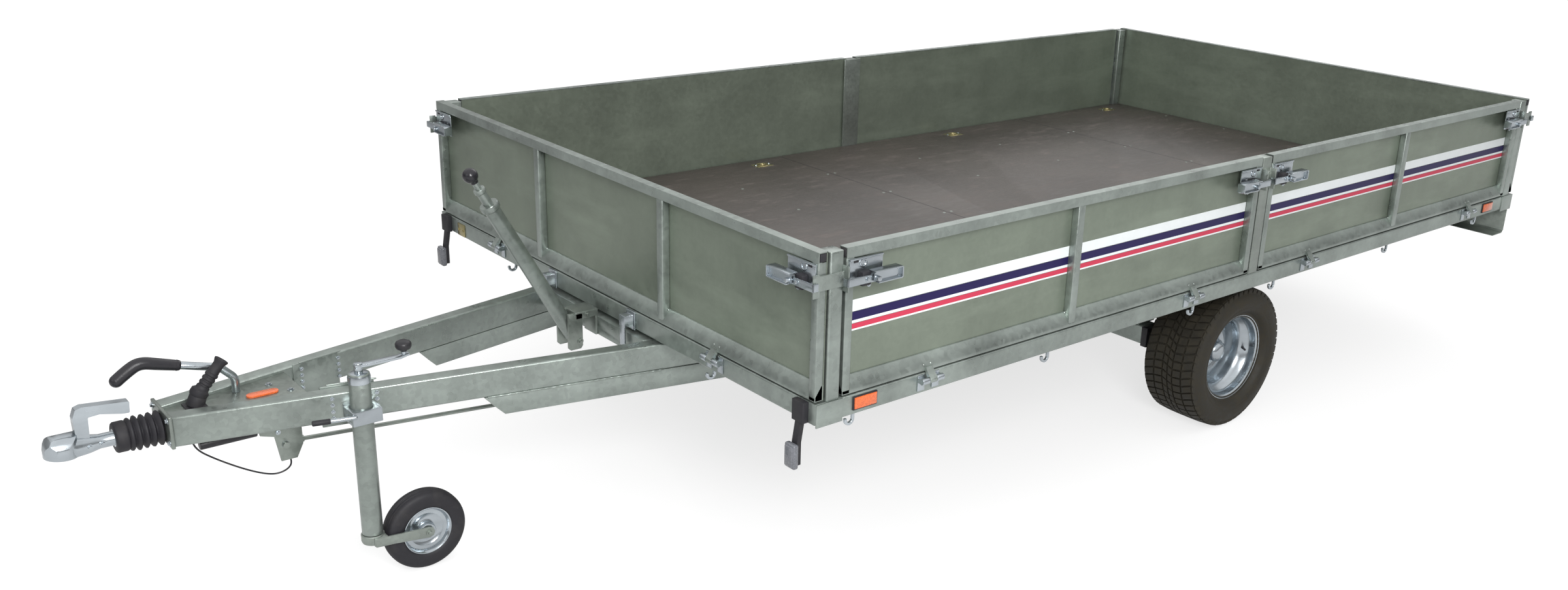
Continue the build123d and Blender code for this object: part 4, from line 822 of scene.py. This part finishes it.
class TRAILER_OT_drawbar(bpy.types.Operator):
    """Gaiter, grip, plug boot, jack, bolts and welds along the drawbar"""

    bl_idname = "trailer.drawbar"
    bl_label = "Drawbar fittings"

    SHAFT_Z = 439
    # Section as (along, radius) points
    GAITER = ((1093, 31), (1095, 32), (1096, 37.5), (1098, 39.5), (1101, 38.5), (1106, 30), (1108.5, 29.5),
              (1111, 36), (1113.5, 38.6), (1116.5, 37.8), (1121, 30.5), (1123, 29.8), (1126, 35.5),
              (1128.5, 38), (1131, 37.6), (1135.5, 30), (1138, 29.2), (1141, 36.5), (1143.5, 39),
              (1146, 38.4), (1150, 30.6), (1152, 30), (1154.5, 35), (1157, 37), (1160, 36), (1163.5, 31.5),
              (1166, 33.8), (1168, 34.4), (1186, 34.2), (1189, 32), (1190, 29), (1190, 20.6), (1093, 20.6))
    GRIP = ((1038, -30, 562), (1076, -30, 573.5), (1112, -30, 585), (1139, -30, 571), (1162, -30, 554))
    ARM_ANGLE = math.radians(12)
    ARM_OUT = Vector((math.sin(ARM_ANGLE), math.cos(ARM_ANGLE), 0))
    ARM_FRONT = (1085, 61)
    ARM_DEPTH = 45.9
    JACK_PLACE = (70, 0, 423)
    JACK_LEAN = math.radians(29.3)
    # Section as (radius, height) points
    JACK = ((0, 12), (20, 12), (20, 440), (21.5, 443), (24, 445), (24.5, 449), (24.5, 457), (23, 460),
            (12.2, 461), (12.2, 494), (14.5, 496), (15.2, 498), (15.2, 505), (14, 508), (8, 509), (8, 530),
            (0, 530))
    JACK_EYE = ((7.4, -15), (15, -15), (16, -14), (16, 14), (15, 15), (7.4, 15))

    def execute(self, context):
        bellows = lathe([(r, x) for x, r in self.GAITER], 64, ALONG)
        add_piece("pleated_gaiter", [moved(bellows, Matrix.Translation((0, 0, self.SHAFT_Z)))], "chassis",
                  "black_rubber", "gaiter", smooth_angle=60)
        parts = [bent(self.GRIP, 14, sizes=(0.86, 0.97, 1.0, 1.02, 1.0)), ball(self.GRIP[-1], 14, (24, 14)),
                 rod((1032, -30, 560.2), (1040, -30, 562.6), 11, 13, edge=1.5)]
        add_piece("smooth_lever_grip", parts, "chassis", "black_grip", "handbrake_grip")
        self.plug()
        self.jack()
        self.bolts()
        self.welds()
        self.reflector()
        add_piece("strut_body", [rod((1027, 20, 384), (903, 20, 384), 11.6, edge=2.5)], "chassis",
                  "black_paint")
        self.hood()
        reach = Vector((89, -89 * math.tan(self.ARM_ANGLE), 2))
        lever_end = Vector((743, 207, 444)) + reach
        cap = rod(lever_end - reach.normalized() * 38, lever_end + reach.normalized() * 1.5, 6.4, edge=2.0)
        add_piece("clamp_lever_cap", [cap], "chassis", "black_rubber")
        return {"FINISHED"}

    def reflector(self):
        """The orange strip on the drawbar, with two round ends."""
        radius, y = 13, 18
        turns = [math.radians(a) for a in range(-90, 91, 15)]
        strip = [(x + way * radius * math.cos(a), y - way * radius * math.sin(a))
                 for x, way in ((844 + radius, -1), (915 - radius, 1)) for a in turns]
        add_piece("rounded_drawbar_reflector", [pressed(strip, 470, 474.5, edge=1.0)], "chassis",
                  "orange_lens", "drawbar_reflector")

    def plug(self):
        """The parked plug: its socket plate, ribbed boot and flared cap."""
        foot, knee, tip = Vector((1020, 0, 470)), Vector((1008, 0, 499)), Vector((954, 0, 563))
        length = (tip - knee).length
        turn = Matrix.Translation(knee) @ (tip - knee).to_track_quat("Z", "Y").to_matrix().to_4x4()
        boot = [(0, -10), (17, -10), (20, -4), (20, 6), (16, 10)]
        for start in range(12, 46, 11):
            boot += [(14.6, start), (14.6, start + 5), (12.8, start + 6.5), (12.8, start + 9.5)]
        boot += [(12, length - 22), (12.2, length - 8), (15.5, length), (15.5, length + 3), (13, length + 4),
                 (11, length - 1), (0, length - 1)]
        parts = [moved(lathe(boot, 32), turn), rod(foot, knee, 20, 18, edge=2.0),
                 block((998, -24, 469.5), (1042, 24, 473), 1.2)]
        add_piece("ribbed_plug_boot", parts, "chassis", "black_rubber", "parked_plug")

    def jack(self):
        """The telescopic ram with its collars and eye, and its black ball."""
        lean = Matrix.Translation(self.JACK_PLACE) @ Matrix.Rotation(self.JACK_LEAN, 4, "Y")
        parts = [moved(lathe(self.JACK, 64), lean), moved(lathe(self.JACK_EYE, 48, ACROSS), lean)]
        add_piece("telescopic_ram", parts, "jack", "zinc_tube", "tipping_jack")
        parts = [moved(ball((0, 0, 548), 19, (48, 24)), lean),
                 moved(rod((0, 0, 526), (0, 0, 536), 9.5, 12, edge=0.8), lean)]
        add_piece("ram_ball", parts, "jack", "black_gloss", slot="black_paint")

    def hood(self):
        """The jack's bracket: a folded hood over two hanging plates, with their bolts."""
        parts = [block((15, -32, 484), (82, 32, 504), 2.0), block((15, -30, 430), (22, 30, 490), 1.5)]
        plate = ((62, 500), (102, 500), (104, 470), (104, 408), (98, 402), (68, 402), (62, 410))
        for side, inside, lug in ((-1, -32, -31), (1, 24.5, 22)):
            parts.append(pressed(plate, inside, inside + 7.5, edge=0.8, axes="xzy"))
            parts.append(block((78, lug, 484), (103, lug + 9, 503), 2.0))
            parts += bolt_head((70, side * 32, 423), (0, side, 0), 9, 6)
            parts += bolt_head((48, side * 32, 494), (0, side, 0), 7, 5)
        add_piece("jack_hood", parts, "chassis", "zinc_plate", "jack_fork")

    def arm_place(self, x, out, z):
        """A point on the left arm's outer face, or out from it."""
        y = self.ARM_FRONT[1] + (self.ARM_FRONT[0] - x) * math.tan(self.ARM_ANGLE)
        return Vector((x, y, z)) + self.ARM_OUT * out

    def splice_bolts(self, side):
        """The bolts through the splice plates of one arm, on both of its faces."""
        bolts = []
        for x in (668, 764):
            for z in (420, 436, 452, 468):
                bolts += bolt_head(self.arm_place(x, 0, z), self.ARM_OUT, 5, 4)
                bolts += bolt_head(self.arm_place(x, -self.ARM_DEPTH, z), -self.ARM_OUT, 5, 4)
        return [moved(bolt, Matrix.Diagonal((1, side, 1, 1))) for bolt in bolts]

    def bolts(self):
        """Bolt heads on the end plate, housing, splice plates, coupling, clamp and brake gear."""
        parts = self.splice_bolts(LEFT)
        for place, direction, across, height in (
            *(((1093, y, z), ALONG, 8, 5) for y in (-54, 54) for z in (420, 472)),
            *(((x, y, 470), UP, 8, 5) for x, y in ((1064, -34), (1064, 34), (850, -28), (820, 30))),
            ((1214, 16, 439), ACROSS, 7, 5),
            ((1240, 20, 439), ACROSS, 7, 5),
            ((739, 196, 436), ACROSS, 7, 4),
            ((852, 53, 350), ACROSS, 9, 6),
            ((866, 53, 384), ACROSS, 6, 5),
        ):
            parts += bolt_head(place, direction, across, height)
        add_piece("drawbar_bolts", parts, "chassis", "bright_zinc")
        add_piece("far_arm_bolts", self.splice_bolts(RIGHT), "chassis", "bright_zinc")

    def welds(self):
        """Rippled weld beads where the lower rails meet the arms and along the splice plates."""
        beads = []
        for side in (LEFT, RIGHT):
            for start, end, out, z in ((-20, 428, 0, 410), (660, 773, -45.4, 484)):
                points = [self.arm_place(x, out + 0.6 * math.sin(x), z) for x in range(start, end, 9)]
                sizes = [0.85 + 0.3 * (number % 2) for number in range(len(points))]
                beads.append(moved(bent(points, 2.2, sizes), Matrix.Diagonal((1, side, 1, 1))))
        add_piece("drawbar_weld_beads", beads, "chassis", "zinc_tube")


class TRAILER_OT_fittings(bpy.types.Operator):
    """Lamps, reflectors, lashing rings, floor screws and seams"""

    bl_idname = "trailer.fittings"
    bl_label = "Bed fittings"

    FLOOR_TOP = 554
    RING_PLACES = (-214.5, -1171.5, -2128.5, -3085.5)
    RING_Y = 823
    # Section as (radius, height) points
    DISH = ((16, -1), (23, -1), (24, 0.6), (22.5, 2.0), (19, 2.2), (17, 1.2))
    SEAMS = (-1303, -2581)
    SEAM_SCREWS = (-593, -297, -3, 297, 593)
    BEAM_SCREWS = (-593, -290, 290, 593)
    BEAMS = (-60, -480, -915, -1731, -2161, -3210)
    TAIL_LAMP = 230
    REFLECTORS = (-142, -3085)
    REFLECTOR_Z = 517

    def execute(self, context):
        self.rings()
        self.floor()
        self.marker_lamps()
        self.tail_lamps()
        self.reflectors()
        return {"FINISHED"}

    def rings(self):
        """Lashing rings lying in their dishes, with a bolt each side."""
        rings, bolts = [], []
        turns = [math.tau * number / 12 for number in range(12)]
        hoop = [(11 + 2.6 * math.cos(a), 2.2 + 2.6 * math.sin(a)) for a in turns]
        for x in self.RING_PLACES:
            for side in (LEFT, RIGHT):
                place = Matrix.Translation((x, side * self.RING_Y, self.FLOOR_TOP))
                rings.append(moved(lathe(self.DISH, 40), place))
                rings.append(moved(lathe(hoop, 36), place @ Matrix.Rotation(math.radians(7), 4, "X")))
                for way in (-29, 29):
                    bolts += bolt_head((x + way, side * self.RING_Y, self.FLOOR_TOP + 0.4), UP, 6, 3)
        add_piece("lashing_rings", rings, "bed", "brass_plate")
        add_piece("lashing_bolts", bolts, "bed", "bright_zinc")

    def floor(self):
        """Seams between the floor's sheets, and screws beside them and into the crossmembers."""
        top = self.FLOOR_TOP
        seams = [block((x - 1.2, -880, top - 0.5), (x + 1.2, 880, top + 0.25), 0.1) for x in self.SEAMS]
        add_piece("floor_seams", seams, "bed", "black_rubber")
        places = [(seam + way, y) for seam in self.SEAMS for way in (-16, 16) for y in self.SEAM_SCREWS]
        places += [(x, y) for x in self.BEAMS for y in self.BEAM_SCREWS]
        heads = [rod((x, y, top - 0.5), (x, y, top + 0.7), 5.5, 4.5, segments=16) for x, y in places]
        add_piece("floor_screws", heads, "bed", "zinc_plate")

    def marker_lamps(self):
        """Marker lamps, each with a raised front."""
        low, high = row_box("marker_lamps")
        lamps = []
        for side in (LEFT, RIGHT):
            y = side * (high.y - 18)
            lamps.append(block((low.x, y - 18, low.z), (high.x - 3, y + 18, high.z), 5.0, 3))
            lamps.append(block((high.x - 7, y - 14, low.z + 5), (high.x, y + 14, high.z - 5), 3.0, 3))
        add_piece("moulded_marker_lamps", lamps, "bed", "clear_lens", "marker_lamps")

    def tail_lamps(self):
        """Tail lamps in three chambers on black backs; the middle one is the turn lamp."""
        low, high = row_box("tail_lamps")
        inner, outer = high.y - self.TAIL_LAMP, high.y
        cuts = (inner + 4, inner + 78, inner + 152, outer - 4)
        red, amber, black = [], [], []
        for side in (LEFT, RIGHT):
            y0, y1 = sorted((side * inner, side * outer))
            black.append(block((high.x - 8, y0, low.z), (high.x, y1, high.z), 2.5))
            for lenses, y0, y1 in zip((red, amber, red), cuts, cuts[1:]):
                y0, y1 = sorted((side * (y0 + 1), side * (y1 - 1)))
                lenses.append(block((low.x, y0, low.z + 4), (high.x - 6, y1, high.z - 4), 4.0, 3))
        add_piece("tail_lamp_lenses", red, "bed", "red_lens", "tail_lamps")
        add_piece("turn_lamp_lenses", amber, "bed", "orange_lens")
        add_piece("tail_lamp_backs", black, "bed", "black_rubber")

    def reflectors(self):
        """Side reflectors in their rims, and the plate with two bolts on the front beam."""
        lenses, rims = [], []
        for x in self.REFLECTORS:
            for side in (LEFT, RIGHT):
                for parts, inner, outer, half_x, half_z, edge in ((rims, 925, 928.4, 36, 17, 1.4),
                                                                  (lenses, 927, 931, 33, 14, 1.8)):
                    y0, y1 = sorted((side * inner, side * outer))
                    parts.append(block((x - half_x, y0, self.REFLECTOR_Z - half_z),
                                       (x + half_x, y1, self.REFLECTOR_Z + half_z), edge))
        plate = [block((0, -816, 492), (3, -770, 530), 1.0)]
        for y in (-806, -780):
            plate += bolt_head((2.5, y, 511), ALONG, 5, 3)
        add_piece("front_reflector_plate", plate, "bed", "brass_plate")
        add_piece("side_reflector_lenses", lenses, "bed", "orange_lens", "side_reflectors")
        add_piece("side_reflector_rims", rims, "bed", "black_rubber")


class TRAILER_OT_stripes(bpy.types.Operator):
    """White, navy and red stripes on the side boards, cut at every stile"""

    bl_idname = "trailer.stripes"
    bl_label = "Board stripes"

    # Colour, and the upper and lower edge as shares of the sheet's height from its top
    BANDS = (("white", 0.384, 0.463), ("navy", 0.467, 0.525), ("white", 0.525, 0.545),
             ("crimson", 0.549, 0.584), ("white", 0.584, 0.596))
    GAP = 0.5

    def execute(self, context):
        lift = context.scene.trailer_sizes.stripe_lift
        inset, half = (END_STILE + self.GAP) * MM, (STILE_HALF + self.GAP) * MM
        for board in ("left_front", "left_rear", "right_front", "right_rear"):
            low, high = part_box(board + "_board_sheet")
            side = LEFT if board.startswith("left") else RIGHT
            face = high.y if side == LEFT else low.y
            y0, y1 = sorted((face - side * self.GAP * MM, face + side * lift))
            height, middle = high.z - low.z, (low.x + high.x) / 2
            for colour in ("white", "navy", "crimson"):
                bm = bmesh.new()
                for _, top, bottom in (band for band in self.BANDS if band[0] == colour):
                    for x0, x1 in ((low.x + inset, middle - half), (middle + half, high.x - inset)):
                        add_block(bm, (x0, y0, high.z - bottom * height), (x1, y1, high.z - top * height))
                add_piece(f"{board}_{colour}_stripe", [bm], board + "_board", colour, slot="zinc_sheet",
                          place=Matrix())
        return {"FINISHED"}


class TRAILER_OT_stage(bpy.types.Operator):
    """Pale floor, soft lamps and the photograph's camera"""

    bl_idname = "trailer.stage"
    bl_label = "Stage and camera"

    CAMERA_PLACE = (2.7869, 3.0792, 1.7733)
    CAMERA_TURN = (70.234, -2.164, 139.327)
    CAMERA_LENS = 32.058
    CAMERA_SHIFT = (-0.0464, 0.0091)
    FLOOR_SIZE = 40.0
    FLOOR_GREY = 0.35
    FLOOR_GLOW = 0.72
    # Across the floor from one place to the other, how brightly metal shows its glow
    FLOOR_FADE = {"From Min": -3.2, "From Max": -0.6, "To Min": 0.08, "To Max": 0.65}
    # Height in the sky from 0 to 1, and its level
    SKY = ((0.50, 0.20), (0.60, 0.30), (0.66, 0.60), (0.90, 1.10))
    LAMPS = (
        # name, place, aim, size, power
        ("key_lamp", (2.4, 3.7, 2.5), (0.0, 0.0, 0.6), 1.5, 145),
        ("front_lamp", (8.0, 1.5, 3.5), (0.3, 0.0, 0.5), 3.0, 30),
        ("rear_lamp", (-6.0, -4.0, 6.0), (0.0, 0.0, 0.5), 6.0, 120),
    )

    def execute(self, context):
        scene = context.scene
        scene.view_settings.view_transform = "Standard"
        camera = bpy.data.objects.new("photo_camera", bpy.data.cameras.new("photo_camera"))
        camera.location = self.CAMERA_PLACE
        camera.rotation_euler = Euler([math.radians(a) for a in self.CAMERA_TURN])
        camera.data.lens = self.CAMERA_LENS
        camera.data.sensor_width = 36.0
        camera.data.shift_x, camera.data.shift_y = self.CAMERA_SHIFT
        camera.data.clip_end = 200.0
        scene.collection.objects.link(camera)
        scene.camera = camera
        for name, place, aim, size, power in self.LAMPS:
            lamp = bpy.data.objects.new(name, bpy.data.lights.new(name, "AREA"))
            lamp.location = place
            lamp.rotation_euler = (Vector(aim) - Vector(place)).to_track_quat("-Z", "Y").to_euler()
            lamp.data.size = size
            lamp.data.energy = power
            scene.collection.objects.link(lamp)
        self.floor(scene)
        self.world(scene)
        return {"FINISHED"}

    def floor(self, scene):
        """A wide floor that looks white and keeps a soft shadow."""
        bm = bmesh.new()
        bmesh.ops.create_grid(bm, x_segments=1, y_segments=1, size=self.FLOOR_SIZE)
        mesh = bpy.data.meshes.new("studio_floor")
        bm.to_mesh(mesh)
        bm.free()
        material = bpy.data.materials.new("pale_floor")
        material.use_nodes = True
        nodes = Nodes(material.node_tree)
        nodes.tree.nodes.remove(nodes.tree.nodes["Principled BSDF"])
        matt = nodes.add("ShaderNodeBsdfDiffuse", {"Color": (*[self.FLOOR_GREY] * 3, 1)})
        rays = nodes.add("ShaderNodeLightPath").outputs
        place = nodes.add("ShaderNodeTexCoord").outputs["Object"]
        across = nodes.add("ShaderNodeSeparateXYZ", {0: place}).outputs["Y"]
        fade = nodes.add("ShaderNodeMapRange", {"Value": across, **self.FLOOR_FADE}).outputs["Result"]
        seen = nodes.add("ShaderNodeMath", {0: rays["Is Glossy Ray"], 1: fade, 2: rays["Is Camera Ray"]},
                         operation="MULTIPLY_ADD").outputs[0]
        strength = nodes.add("ShaderNodeMath", {0: seen, 1: self.FLOOR_GLOW}, operation="MULTIPLY").outputs[0]
        glow = nodes.add("ShaderNodeEmission", {"Strength": strength})
        both = nodes.add("ShaderNodeAddShader", {0: matt.outputs[0], 1: glow.outputs[0]}).outputs[0]
        nodes.join(nodes.tree.nodes["Material Output"], {"Surface": both})
        mesh.materials.append(material)
        floor = bpy.data.objects.new("studio_floor", mesh)
        scene.collection.objects.link(floor)

    def world(self, scene):
        """A soft sky that darkens towards the ground, white where the camera sees it."""
        scene.world = bpy.data.worlds.new("studio_sky")
        scene.world.use_nodes = True
        nodes = Nodes(scene.world.node_tree)
        place = nodes.add("ShaderNodeTexCoord").outputs["Generated"]
        up = nodes.add("ShaderNodeSeparateXYZ", {0: place}).outputs["Z"]
        share = nodes.add("ShaderNodeMath", {0: up, 1: 0.5, 2: 0.5}, operation="MULTIPLY_ADD").outputs[0]
        seen = nodes.add("ShaderNodeLightPath").outputs["Is Camera Ray"]
        shown = nodes.mix(seen, nodes.ramp(share, *self.SKY), (1, 1, 1))
        nodes.join(nodes.tree.nodes["Background"], {"Color": shown})


OPERATORS = (TRAILER_OT_stage, TRAILER_OT_finishes, TRAILER_OT_cable, TRAILER_OT_steelwork, TRAILER_OT_boards,
             TRAILER_OT_stripes, TRAILER_OT_wheels, TRAILER_OT_drawbar, TRAILER_OT_fittings)


class TRAILER_PT_looks(bpy.types.Panel):
    """Lists the trailer's sizes, colours and steps"""

    bl_idname = "TRAILER_PT_looks"
    bl_label = "Trailer looks"
    bl_space_type = "VIEW_3D"
    bl_region_type = "UI"
    bl_category = "Trailer"

    def draw(self, context):
        for settings in (context.scene.trailer_sizes, context.scene.trailer_colours):
            for key in settings.__annotations__:
                self.layout.prop(settings, key)
        for operator in OPERATORS:
            self.layout.operator(operator.bl_idname)


CLASSES = (TrailerColours, TrailerSizes, *OPERATORS, TRAILER_PT_looks)


def register():
    for cls in CLASSES:
        bpy.utils.register_class(cls)
    bpy.types.Scene.trailer_colours = bpy.props.PointerProperty(type=TrailerColours)
    bpy.types.Scene.trailer_sizes = bpy.props.PointerProperty(type=TrailerSizes)


def unregister():
    del bpy.types.Scene.trailer_sizes
    del bpy.types.Scene.trailer_colours
    for cls in reversed(CLASSES):
        bpy.utils.unregister_class(cls)


def main():
    """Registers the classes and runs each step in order."""
    register()
    for operator in OPERATORS:
        group, name = operator.bl_idname.split(".")
        getattr(getattr(bpy.ops, group), name)()


if __name__ == "__main__":
    main()
